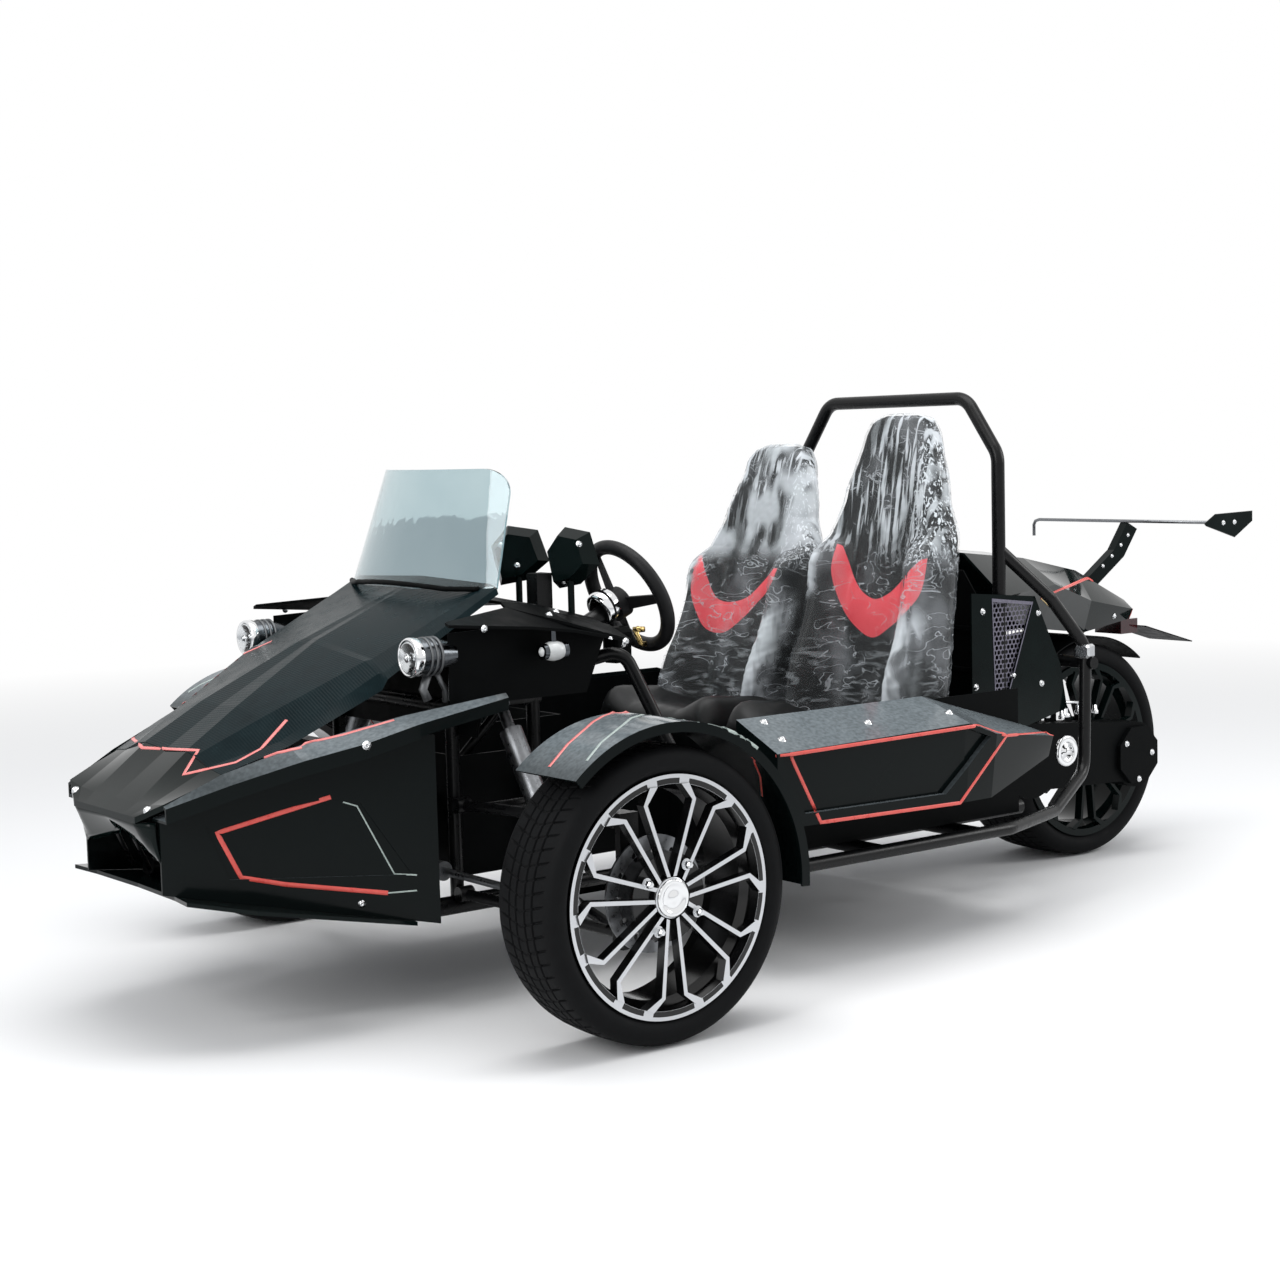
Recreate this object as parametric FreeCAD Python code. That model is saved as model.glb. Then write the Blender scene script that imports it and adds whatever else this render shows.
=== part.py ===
import FreeCAD, Part
import math
import os

# Open two seat sports three wheeler with two steered front wheels and one driven rear wheel.
# Millimetres. +X is forward, +Y is left, +Z is up, and the ground is z = 0.

# Driving dimensions
WHEELBASE = 1960.0
FRONT_OVERHANG = 755.0
REAR_OVERHANG = 470.0
FRONT_TRACK_OUTER = 1644.0
HOOP_HEIGHT = 1211.0
COWL_HEIGHT = 850.0
CAB_HALF_WIDTH = 484.0

# Shared clearances and the one overrun for every cut
CUT = 5.0
RUNNING_GAP = 0.3
SEAT_GAP = 0.3

# Wheels
TYRE_R = 284.0
FRONT_TYRE_WIDTH = 176.0
REAR_TYRE_WIDTH = 218.0
RIM_SEAT_R = 219.0
FLANGE_R = 231.0
FLANGE_INSET = 6.0
FLANGE_WIDTH = 10.0
BARREL_WALL = 6.0
WELL_DEPTH = 14.0
WELL_RAMP = 12.0
BEAD_WIDTH = 20.0
TYRE_BULGE_R = 253.0
TYRE_SHOULDER_R = 270.0
TYRE_SHOULDER_INSET = 4.0
TREAD_EDGE_INSET = 30.0
TREAD_EDGE_DROP = 2.5
SHOULDER_ROUND_SHARE = 0.32
SPOKE_PAIRS = 7
SPOKE_DEPTH = 22.0
SPOKE_FACE_INSET = 2.0
SPOKE_ROOT_R = 40.0
SPOKE_ROOT_HALF_GAP = 7.0
SPOKE_BEND_R = 179.0
SPOKE_BEND_HALF_GAP = 57.0
SPOKE_TIP_HALF_GAP = 37.0
SPOKE_ROOT_WIDTH = 8.0
SPOKE_BEND_WIDTH = 9.0
SPOKE_TIP_WIDTH = 18.0
CENTRE_CAP_R = 41.0
CENTRE_CAP_ROUND = 6.0
HUB_DISC_R = 84.0
HUB_DISC_DROP = 12.0
HUB_MOUNT_DEPTH = 58.0
LUG_CIRCLE_R = 68.0
LUG_COUNT = 4
LUG_BOSS_R = 11.0
LUG_TURN = 30.5
AXLE_BORE_R = 17.0
DISC_R = 112.0
DISC_THICK = 5.0
DISC_BORE_R = 46.0
DISC_SLOTS = 12
DISC_SLOT_R = 6.0
DISC_SLOT_CIRCLE_R = 88.0

# Front corners
KINGPIN_OFFSET = 79.0
BALL_R = 16.0
BALL_THICK = 16.0
UPPER_ARM_HEIGHT = 404.0
LOWER_ARM_HEIGHT = 190.0
ARM_TUBE_R = 11.0
ARM_BRACE_SHARE = 0.84
UPRIGHT_THICK = 16.0
UPRIGHT_WIDTH = 44.0
UPRIGHT_STANDOFF = 20.0
STEER_ARM_LENGTH = 150.0
STEER_ARM_THICK = 12.0
STEER_ARM_WIDTH = 22.0
STEER_ARM_HEIGHT = 288.0
STEER_LOCK_DEG = 28.0
FENDER_R = 326.0
FENDER_THICK = 4.0
FENDER_LIP = 16.0
FENDER_INNER_MARGIN = 6.0
FENDER_OUTER_MARGIN = 10.0
FENDER_FRONT_DEG = 48.0
FENDER_REAR_DEG = 184.0
FENDER_STAY_WIDTH = 28.0
FENDER_STAY_THICK = 6.0
FENDER_STAY_GAP = 10.0
CALIPER_LENGTH = 80.0
CALIPER_DEPTH = 46.0
CALIPER_WIDTH = 34.0
CALIPER_DISC_GAP = 3.0

# Front frame and steering gear
FRAME_TUBE_R = 14.0
FRONT_BAY_HALF_LENGTH = 100.0
FRONT_BAY_HALF_WIDTH = 232.0
FRONT_BAY_TOP = 604.0
FRONT_BAY_BOTTOM = 196.0
RAIL_R = 19.0
RAIL_BEND_R = 120.0
NOSE_RAIL_HALF_WIDTH = 150.0
NOSE_RAIL_REACH = 600.0
NOSE_RAIL_RISE_X = 260.0
NOSE_RAIL_REST_X = 405.0
CAB_RAIL_HEIGHT = 190.0
SHOCK_BODY_R = 24.0
SHOCK_ROD_R = 8.0
SHOCK_EYE_R = 14.0
SHOCK_LOWER_OFFSET = 135.0
RACK_R = 10.0
RACK_HOUSING_R = 20.0
RACK_HALF_LENGTH = 250.0
TIE_ROD_R = 8.0
TIE_ROD_EYE_R = 13.0
TIE_ROD_EYE_THICK = 18.0

# Steering wheel and column
DRIVER_Y = 248.0
SEAT_PITCH_HALF = 248.0
STEERING_X = -345.0
STEERING_HEIGHT = 800.0
STEERING_TILT_DEG = 25.0
STEERING_RIM_R = 118.0
STEERING_GRIP_R = 15.5
STEERING_HUB_R = 34.0
STEERING_HUB_DEPTH = 30.0
STEERING_SPOKE_WIDTH = 30.0
STEERING_SPOKE_THICK = 5.0
STEERING_DISH = 34.0
STEERING_SPOKES = 3
STEERING_SPOKE_TIP_SHARE = 0.6
STEERING_STUB = 64.0
COLUMN_R = 19.0
COLUMN_SHAFT_R = 10.0
COLUMN_LENGTH = 190.0
JOINT_R = 22.0
PINION_Y = 45.0
COLUMN_HANGER = 170.0
STEERING_SPOKE_START = 90.0
OFFCUT_SHARE = 0.2
SPINDLE_REACH = 20.0
SHOCK_SPLIT_SHARE = 0.45
SHOCK_SPRING_SHARES = (0.16, 0.86)
PIVOT_BITE = 2.0
CHEEK_TOP_SLOPE = 0.3
SCREEN_SINK = 12.0
SEAT_PAN_SHARE = 0.6
SEAT_RIM_SHARE = 0.9
SEAT_REAR_SHARE = 0.8
CASE_WAIST_SHARE = 0.8
HUGGER_STRAP_X = -1800.0


# Body panels, with places behind the front axle counted negative
PANEL = 5.0
HOOD_LENGTH = 620.0
HOOD_HALF_WIDTH = 302.0
HOOD_STATION_SHARES = (
    (1.0, ((0, 0.646), (0.31, 0.653), (0.44, 0.646), (0.61, 0.626), (0.80, 0.616))),
    (0.806, ((0, 0.735), (0.25, 0.740), (0.57, 0.720), (0.83, 0.676), (0.955, 0.670))),
    (0.484, ((0, 0.863), (0.10, 0.866), (0.79, 0.838), (0.945, 0.812), (1.0, 0.776))),
    (0.46, ((0, 0.872), (0.09, 0.874), (0.80, 0.842), (0.945, 0.814), (0.993, 0.800))),
    (0.026, ((0, 1.007), (0.03, 1.007), (0.868, 0.998), (0.945, 0.990), (0.967, 0.975))),
)
NOSE_HALF_WIDTH = 450.0
NOSE_STATION_SHARES = (
    (1.0, ((0, 0.526), (0.20, 0.526), (0.27, 0.526), (0.318, 0.526))),
    (0.814, ((0, 0.549), (0.22, 0.549), (0.36, 0.552), (0.478, 0.561))),
    (0, ((0, 0.643), (0.21, 0.651), (0.411, 0.624), (0.545, 0.614))),
)
NOSE_LIP = 12.0
BLADE_FLANGE = 24.0
BLADE_STATION_SHARES = (
    (0.967, (0.486, 0.557), (0.508, 0.552)),
    (0.8223, (0.552, 0.618), (0.618, 0.596)),
    (0.6623, (0.655, 0.666), (0.76, 0.642)),
    (0.5256, (0.722, 0.694), (0.889, 0.675)),
    (0.3815, (0.80, 0.722), (0.935, 0.709)),
    (0.1378, (0.978, 0.762), (1.0, 0.752)),
)
CHEEK_FRONT_SHARES = (0.953, 0.389)
CHEEK_REAR_SHARES = (0.3243, 0.889)
CHEEK_THICK = 5.0
CHEEK_POCKET_SHARES = ((0.16, 0.50), (0.60, 0.545), (0.72, 0.53), (0.90, 0.36), (0.24, 0.375))
POCKET_DEPTH = 2.5
SPLITTER_THICK = 8.0
SPLITTER_FRONT_HEIGHT = 303.0
SPLITTER_REAR_HEIGHT = 214.0
SPLITTER_REAR_X = 290.0
SPLITTER_OUTLINE_SHARES = (
    (0.915, 0), (0.925, 0.40), (0.942, 0.578), (0.80, 0.745), (0.384, 0.86), (0.384, 0.60), (0.583, 0.57),
    (0.583, 0),
)
SCREEN_HEIGHT = 245.0
SCREEN_BASE_HALF = 288.0
SCREEN_TOP_HALF = 251.0
SCREEN_BASE_X = 16.0
SCREEN_RAKE = 75.0
SCREEN_BOW = 90.0
SCREEN_THICK = 4.0
SCREEN_CORNER_R = 66.0
SCREEN_TRIM = 2.0
DASH_THICK = 6.0
DASH_STATION_SHARES = (
    (0.0212, ((0, 0.972), (0.66, 0.958), (0.70, 0.945))),
    (-0.106, ((0, 0.962), (0.66, 0.942), (0.90, 0.905))),
    (-0.2861, ((0, 0.925), (0.66, 0.900), (0.95, 0.855))),
)
DASH_WING_SHARES = (
    (0.2755, (0.87, 0.930), (0.90, 0.924)),
    (0.0212, (0.70, 0.945), (0.91, 0.905)),
    (-0.106, (0.74, 0.930), (0.92, 0.890)),
    (-0.2861, (0.78, 0.887), (0.95, 0.855)),
)
MIRROR_PLACES = ((-158.0, 300.0), (-164.0, 100.0))
MIRROR_TURNS_DEG = (15.0, 42.0)
MIRROR_STEM_R = 7.0
MIRROR_RISE = 42.0
MIRROR_SIZE = 128.0
MIRROR_DEPTH = 34.0
MIRROR_CAP_SHARE = 0.74
MIRROR_ROOT = 145.0
MIRROR_OUTLINE_SHARES = ((-0.35, -0.5), (0.1, -0.42), (0.5, -0.1), (0.32, 0.42), (-0.2, 0.5), (-0.5, 0.15))
HEADLAMP_PLACE = (212.0, 342.0, 722.0)
HEADLAMP_R = 37.0
HEADLAMP_LENGTH = 96.0
HEADLAMP_TAIL_R = 24.0
HEADLAMP_BRACKET = 12.0
INDICATOR_X = -40.0
INDICATOR_Y = 400.0
INDICATOR_DROP = 134.0
INDICATOR_R = 16.0
INDICATOR_LENGTH = 58.0
RADIATOR_X = 200.0
RADIATOR_THICK = 36.0
RADIATOR_HALF_WIDTH = 240.0
RADIATOR_HEIGHT = 300.0
FOOT_HALF_WIDTH = 205.0
FOOT_FRONT_X = 70.0
FOOT_WALL_HEIGHT = 250.0
CAB_FRONT_X = -470.0
CAB_REAR_X = -1290.0
TUB_WALL_HEIGHT = 290.0
TUB_SHEET = 4.0
POD_WIDTH = 150.0
POD_HEIGHT = 545.0
POD_LENGTH = 870.0
POD_FRONT_X = -440.0
POD_STATION_SHARES = (
    (0, 1.0, 0.87, 0.89, 0.60, 0.83),
    (0.62, 1.0, 1.0, 0.912, 0.59, 0.90),
    (0.72, 0.95, 0.97, 0.853, 0.587, 0.84),
    (1.0, 0.82, 0.60, 0.79, 0.70, 0.50),
)
POD_POCKET_SHARES = ((0.014, 0.873), (0.615, 0.892), (0.699, 0.844), (0.548, 0.637), (0.086, 0.646))
POD_POCKET_DEPTH = 14.0
PANEL_FRONT_X = -1262.0
PANEL_REAR_X = -1590.0
PANEL_OUTLINE_SHARES = ((0, 0.885), (0, 0.45), (1, 0.53), (0.93, 0.66), (0.66, 0.862))
VENT_OUTLINE_SHARES = ((0.21, 0.862), (0.235, 0.566), (0.34, 0.566), (0.63, 0.843))
TAIL_REAR_X = -2200.0
TAIL_HALF_WIDTH = 345.0
TAIL_STATION_SHARES = (
    (0, ((0, 1.0), (0.62, 0.985), (1.0, 0.865), (0.86, 0.81))),
    (0.36, ((0, 0.965), (0.40, 0.95), (0.72, 0.875), (0.56, 0.74))),
    (0.70, ((0, 0.90), (0.20, 0.892), (0.36, 0.80), (0.28, 0.70))),
    (1.0, ((0, 0.79), (0.08, 0.78), (0.17, 0.752), (0.13, 0.72))),
)
LAMP_SIZE = (34.0, 92.0, 40.0)
PLATE_BRACKET_THICK = 3.0
PLATE_BRACKET_WIDTH = 150.0
PLATE_BRACKET_DROP = 56.0
WING_ARM_PLACES = (-2050.0, -2115.0, -2180.0, -2235.0)
WING_ARM_SHARES = (0.841, 0.891, 0.941, 1.027)
WING_ARM_THICK = 24.0
WING_ARM_DEPTH = 40.0
WING_HEIGHT_SHARE = 1.033
WING_X = -2213.0
WING_CHORD = 110.0
WING_HALF_SPAN = 324.0
WING_THICK = 9.0
WING_PLATE_SIZE = (150.0, 84.0)
WING_PLATE_THICK = 6.0
WING_PLATE_OUTLINE_SHARES = ((0.5, 0.32), (0.2, 0.5), (-0.5, 0.1), (-0.32, -0.5), (0.5, -0.2))

# Seats
SEAT_X = -1050.0
SEAT_BACK_HEIGHT = 1169.0
SEAT_HALF_WIDTH = 226.0
SEAT_BASE_FRONT_X = -760.0
SEAT_BASE_TOP = 545.0
SEAT_BASE_BOTTOM = 400.0
SEAT_THICK = 105.0
SEAT_BOLSTER = 112.0
SEAT_BASE_BOLSTER = 62.0
SEAT_BASE_SHARES = ((0, 0), (0.5, 0), (0.88, 0.2), (1.0, -0.3))
SEAT_STATION_SHARES = (
    (0.03, 0, 0.92, 1.0),
    (0.24, -0.25, 0.98, 1.0),
    (0.422, -0.50, 1.0, 0.8),
    (0.59, -0.75, 1.0, 0.45),
    (0.757, -1.0, 0.74, 0.22),
    (0.894, -1.25, 0.56, 0.12),
    (1.0, -1.42, 0.42, 0),
)
SEAT_SLOPE = 95.0
PASSENGER_BACK_HEIGHT = 1102.0
PASSENGER_SLOPE = 124.0
RISER_TUBE_R = 12.0
RISER_LENGTH = 300.0

# Rear frame
HOOP_X = -1378.0
HOOP_TUBE_R = 16.0
HOOP_HALF_WIDTH = 345.0
HOOP_TOP_HALF_WIDTH = 243.0
HOOP_SHOULDER_HEIGHT = 1075.0
HOOP_BEND_R = 60.0
SIDE_TUBE_R = 15.0
SIDE_TUBE_BEND_R = 60.0
SILL_Y = 560.0
SILL_FRONT_X = -480.0
SILL_REAR_X = -1180.0
KICK_BASE_X = -1420.0
KICK_BASE_Y = 475.0
KICK_UP_X = -1600.0
KICK_UP_Y = 410.0
KICK_UP_HEIGHT = 300.0
BRACE_REAR_X = -1640.0
BRACE_REAR_SHARE = 0.7059
BRACE_TOP_X = -1515.0
BRACE_TOP_SHARE = 0.8565
HOOP_JOINT_HEIGHT = 850.0
CROSS_TUBE_R = 15.0
CROSS_TUBE_PLACES = (SILL_FRONT_X, -780.0, -1080.0)
REAR_CROSS_SHARE = 0.6588
RAIL_REAR_X = -1560.0
POST_KNEE = (-60.0, 262.0, 650.0)
POST_TOP = (-235.0, 370.0, 700.0)
POST_FOOT = (-400.0, 450.0, 300.0)
POST_BEND_R = 40.0

# Drive and rear suspension
ENGINE_LENGTH = 300.0
ENGINE_FRONT_X = -1300.0
ENGINE_HEIGHT = 290.0
ENGINE_RIGHT = 150.0
CASE_WIDTH = 78.0
CASE_GAP = 14.0
CASE_FRONT_X = -1645.0
CASE_FRONT_HEIGHT = 296.0
CASE_FRONT_R = 96.0
CASE_REAR_X = -2040.0
CASE_REAR_HEIGHT = 272.0
CASE_REAR_R = 86.0
CASE_BOSS_R = 30.0
CASE_COVER_R = 80.0
CASE_COVER_SIDES = 8
CASE_COVER_THICK = 12.0
SWING_ARM_R = 20.0
PIVOT_R = 17.0
HUGGER_R = 298.0
HUGGER_THICK = 3.5
HUGGER_STRAP_THICK = 6.0
HUGGER_STRAP_WIDTH = 40.0
HUGGER_FRONT_DEG = 45.0
HUGGER_REAR_DEG = 130.0
SWING_ARM_Y = 145.0
SHOCK_FOOT_X = -1800.0
EXHAUST_R = 50.0
EXHAUST_LENGTH = 330.0
EXHAUST_FRONT_X = -1720.0
EXHAUST_Y = 222.0
EXHAUST_HEIGHT = 330.0
EXHAUST_PIPE_R = 19.0
PEDAL_X = 20.0
PEDAL_SIZE = (8.0, 52.0, 70.0)
PEDAL_PLACES = (150.0, 80.0)
PEDAL_HEIGHT = 350.0


def vec(x, y, z):
    return FreeCAD.Vector(x, y, z)


# Places that follow from the driving dimensions
FRONT_AXLE_X = (WHEELBASE + REAR_OVERHANG - FRONT_OVERHANG) / 2
REAR_AXLE_X = FRONT_AXLE_X - WHEELBASE
FRONT_WHEEL_Y = FRONT_TRACK_OUTER / 2 - FRONT_TYRE_WIDTH / 2
KINGPIN_Y = FRONT_WHEEL_Y - KINGPIN_OFFSET
PANEL_Y = HOOP_HALF_WIDTH + HOOP_TUBE_R + SEAT_GAP
SILL_HEIGHT = FRONT_BAY_BOTTOM + RAIL_R + SEAT_GAP + CROSS_TUBE_R
FLOOR_Z = SILL_HEIGHT + CROSS_TUBE_R + SEAT_GAP
RACK_HEIGHT = STEER_ARM_HEIGHT - STEER_ARM_THICK / 2 - SEAT_GAP - TIE_ROD_EYE_THICK / 2
CASE_INNER_Y = REAR_TYRE_WIDTH / 2 + CASE_GAP
REAR_CROSS_X = BRACE_REAR_X
REAR_CROSS_HEIGHT = HOOP_JOINT_HEIGHT * REAR_CROSS_SHARE
TAIL_FRONT_X = HOOP_X - HOOP_TUBE_R - SEAT_GAP
HALF_TURN_DEG = 180.0
RACK_X = FRONT_AXLE_X + STEER_ARM_LENGTH * (1 + math.cos(math.radians(STEER_LOCK_DEG))) / 2
X_AXIS = vec(1, 0, 0)
Y_AXIS = vec(0, 1, 0)
Z_AXIS = vec(0, 0, 1)
ORIGIN = vec(0, 0, 0)


def save(name, shape):
    shape.exportStep("parts/" + name + ".step")


def mirrored(shape):
    return shape.mirror(ORIGIN, Y_AXIS)


def save_pair(name, shape):
    save(name + "_left", shape)
    save(name + "_right", mirrored(shape))


def polygon(points):
    return Part.makePolygon(points + points[:1])


def prism(points, sweep):
    return Part.Face(polygon(points)).extrude(sweep)


def box(x0, x1, y0, y1, z0, z1):
    return Part.makeBox(x1 - x0, y1 - y0, z1 - z0, vec(x0, y0, z0))


def rod(start, end, radius):
    along = end - start
    return Part.makeCylinder(radius, along.Length, start, along)


def fused(shapes):
    whole = shapes[0].multiFuse(shapes[1:])
    return whole.removeSplitter()


def bent_path(points, bend_r):
    edges = []
    start = points[0]
    for before, corner, after in zip(points, points[1:], points[2:]):
        into = (corner - before).normalize()
        out = (after - corner).normalize()
        turn = into.getAngle(out)
        reach = bend_r * math.tan(turn / 2)
        first = corner - into * reach
        last = corner + out * reach
        inward = (out - into).normalize()
        middle = corner + inward * (bend_r / math.cos(turn / 2) - bend_r)
        edges.append(Part.LineSegment(start, first).toShape())
        edges.append(Part.Arc(first, middle, last).toShape())
        start = last
    edges.append(Part.LineSegment(start, points[-1]).toShape())
    return Part.Wire(edges)


def bent_tube(points, radius, bend_r):
    circle = Part.Wire(Part.makeCircle(radius, points[0], points[1] - points[0]))
    return bent_path(points, bend_r).makePipeShell([circle], True, False)


def ring_profile(points, centre):
    # Turns points of radius and sideways offset about the wheel's axle line.
    corners = [vec(centre.x, centre.y + side, centre.z + radius) for radius, side in points]
    return Part.Face(polygon(corners)).revolve(centre, Y_AXIS, 360)


def sheet_section(x, half_outline, thickness):
    # Closed outline across the car: the top from right to left, then back along the underside.
    left = [vec(x, y, z) for y, z in half_outline]
    right = [vec(x, -y, z) for y, z in reversed(half_outline) if y > 0]
    top = right + left
    under = [point - Z_AXIS * thickness for point in reversed(top)]
    return polygon(top + under)


def lofted(wires):
    return Part.makeLoft(wires, True, True)


# Wheels
def tyre(centre, width):
    half = width / 2
    bead = half - FLANGE_INSET - FLANGE_WIDTH
    shoulder = half - TYRE_SHOULDER_INSET
    tread = half - TREAD_EDGE_INSET
    tread_r = TYRE_R - TREAD_EDGE_DROP

    def at(radius, side):
        return vec(centre.x, centre.y + side, centre.z + radius)

    edges = [Part.LineSegment(at(RIM_SEAT_R, -bead), at(RIM_SEAT_R, bead)).toShape()]
    round_r = tread_r - (tread_r - TYRE_SHOULDER_R) * SHOULDER_ROUND_SHARE
    round_y = tread + (shoulder - tread) * (1 - SHOULDER_ROUND_SHARE)
    for side in (1, -1):
        edges.append(Part.LineSegment(at(RIM_SEAT_R, side * bead), at(FLANGE_R, side * bead)).toShape())
        edges.append(
            Part.Arc(at(FLANGE_R, side * bead), at(TYRE_BULGE_R, side * half),
                     at(TYRE_SHOULDER_R, side * shoulder)).toShape()
        )
        edges.append(
            Part.Arc(at(TYRE_SHOULDER_R, side * shoulder), at(round_r, side * round_y),
                     at(tread_r, side * tread)).toShape()
        )
    edges.append(Part.Arc(at(tread_r, tread), at(TYRE_R, 0), at(tread_r, -tread)).toShape())
    wire = Part.Wire(Part.__sortEdges__(edges))
    return Part.Face(wire).revolve(centre, Y_AXIS, 360)


def spoke_outline(side, width_face):
    # One bent spoke in the wheel's plane, from the hub to the rim, on one side of its pair.
    root = (SPOKE_ROOT_HALF_GAP, SPOKE_ROOT_R)
    bend = (SPOKE_BEND_HALF_GAP, SPOKE_BEND_R)
    half_root = SPOKE_ROOT_WIDTH / 2
    half_bend = SPOKE_BEND_WIDTH / 2
    half_tip = SPOKE_TIP_WIDTH / 2
    tip_r = math.sqrt((RIM_SEAT_R - BARREL_WALL / 2) ** 2 - (SPOKE_TIP_HALF_GAP + half_tip) ** 2)
    tip = (SPOKE_TIP_HALF_GAP, tip_r)
    outline = [
        (root[0] - half_root, root[1]),
        (root[0] + half_root, root[1]),
        (bend[0] + half_bend, bend[1]),
        (tip[0] + half_tip, tip[1]),
        (tip[0] - half_tip, tip[1]),
        (bend[0] - half_bend, bend[1]),
    ]
    return [vec(side * across, width_face, out) for across, out in outline]


def wheel(centre, width, outward):
    # Barrel with its two flanges, hub disc, spokes, lug bosses and centre cap, fused as one casting.
    half = width / 2
    outer = half - FLANGE_INSET
    bead = outer - FLANGE_WIDTH
    seat = bead - BEAD_WIDTH
    well = seat - WELL_RAMP
    inner_r = RIM_SEAT_R - BARREL_WALL
    well_r = RIM_SEAT_R - WELL_DEPTH
    barrel = ring_profile(
        [
            (FLANGE_R, -outer),
            (FLANGE_R, -bead),
            (RIM_SEAT_R, -bead),
            (RIM_SEAT_R, -seat),
            (well_r, -well),
            (well_r, well),
            (RIM_SEAT_R, seat),
            (RIM_SEAT_R, bead),
            (FLANGE_R, bead),
            (FLANGE_R, outer),
            (inner_r, outer),
            (inner_r, seat),
            (well_r - BARREL_WALL, well),
            (well_r - BARREL_WALL, -well),
            (inner_r, -seat),
            (inner_r, -outer),
        ],
        ORIGIN,
    )
    face = half - SPOKE_FACE_INSET
    spokes = []
    for index in range(SPOKE_PAIRS):
        for side in (1, -1):
            blade = prism(spoke_outline(side, face), Y_AXIS * -SPOKE_DEPTH)
            blade.rotate(ORIGIN, Y_AXIS, 360 * index / SPOKE_PAIRS)
            spokes.append(blade)
    mount = half - HUB_MOUNT_DEPTH
    disc_face = face - HUB_DISC_DROP
    hub = Part.makeCylinder(HUB_DISC_R, disc_face - mount, vec(0, mount, 0), Y_AXIS)
    cap = Part.makeCylinder(CENTRE_CAP_R, face - mount, vec(0, mount, 0), Y_AXIS)
    cap = cap.makeFillet(CENTRE_CAP_ROUND, [edge for edge in cap.Edges if edge.CenterOfMass.y > face - CUT])
    bosses = []
    for index in range(LUG_COUNT):
        angle = math.radians(LUG_TURN + 360 * index / LUG_COUNT)
        place = vec(LUG_CIRCLE_R * math.cos(angle), mount, LUG_CIRCLE_R * math.sin(angle))
        bosses.append(Part.makeCylinder(LUG_BOSS_R, face - mount, place, Y_AXIS))
    whole = fused([barrel, hub, cap] + spokes + bosses)
    bore_end = face - SPOKE_DEPTH
    bore = Part.makeCylinder(AXLE_BORE_R, bore_end - mount + CUT, vec(0, mount - CUT, 0), Y_AXIS)
    whole = whole.cut(bore)
    if outward < 0:
        whole = mirrored(whole)
    whole.translate(centre)
    return whole


def brake_disc(centre, width, outward):
    # Slotted disc bolted to the inner side of the hub.
    mount = width / 2 - HUB_MOUNT_DEPTH
    disc = Part.makeCylinder(DISC_R, DISC_THICK, vec(0, mount - DISC_THICK, 0), Y_AXIS)
    disc = disc.cut(Part.makeCylinder(DISC_BORE_R, DISC_THICK + CUT * 2,
                                      vec(0, mount - DISC_THICK - CUT, 0), Y_AXIS))
    for index in range(DISC_SLOTS):
        angle = 2 * math.pi * index / DISC_SLOTS
        place = vec(DISC_SLOT_CIRCLE_R * math.cos(angle), mount - DISC_THICK - CUT,
                    DISC_SLOT_CIRCLE_R * math.sin(angle))
        disc = disc.cut(Part.makeCylinder(DISC_SLOT_R, DISC_THICK + CUT * 2, place, Y_AXIS))
    if outward < 0:
        disc = mirrored(disc)
    disc.translate(centre)
    return disc


def from_axle(x, y, z):
    return vec(FRONT_AXLE_X + x, y, z)


def coped(shape, carriers):
    # A piece is cut back to the faces of the pieces that carry it, and the offcuts are dropped.
    for carrier in carriers:
        shape = shape.cut(carrier)
    largest = max(solid.Volume for solid in shape.Solids)
    return Part.makeCompound([solid for solid in shape.Solids if solid.Volume > largest * OFFCUT_SHARE])


def shell_section(x, half_outline, thickness):
    # Closed outline of an open channel: the outer line, then back along the inner line.
    inner = [(max(y - thickness, 0), z - thickness) for y, z in half_outline[:-1]]
    inner.append((half_outline[-1][0] - thickness, half_outline[-1][1]))
    points = [vec(x, -y, z) for y, z in reversed(half_outline) if y > 0]
    points += [vec(x, y, z) for y, z in half_outline]
    points += [vec(x, y, z) for y, z in reversed(inner)]
    points += [vec(x, -y, z) for y, z in inner if y > 0]
    return polygon(points)


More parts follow.
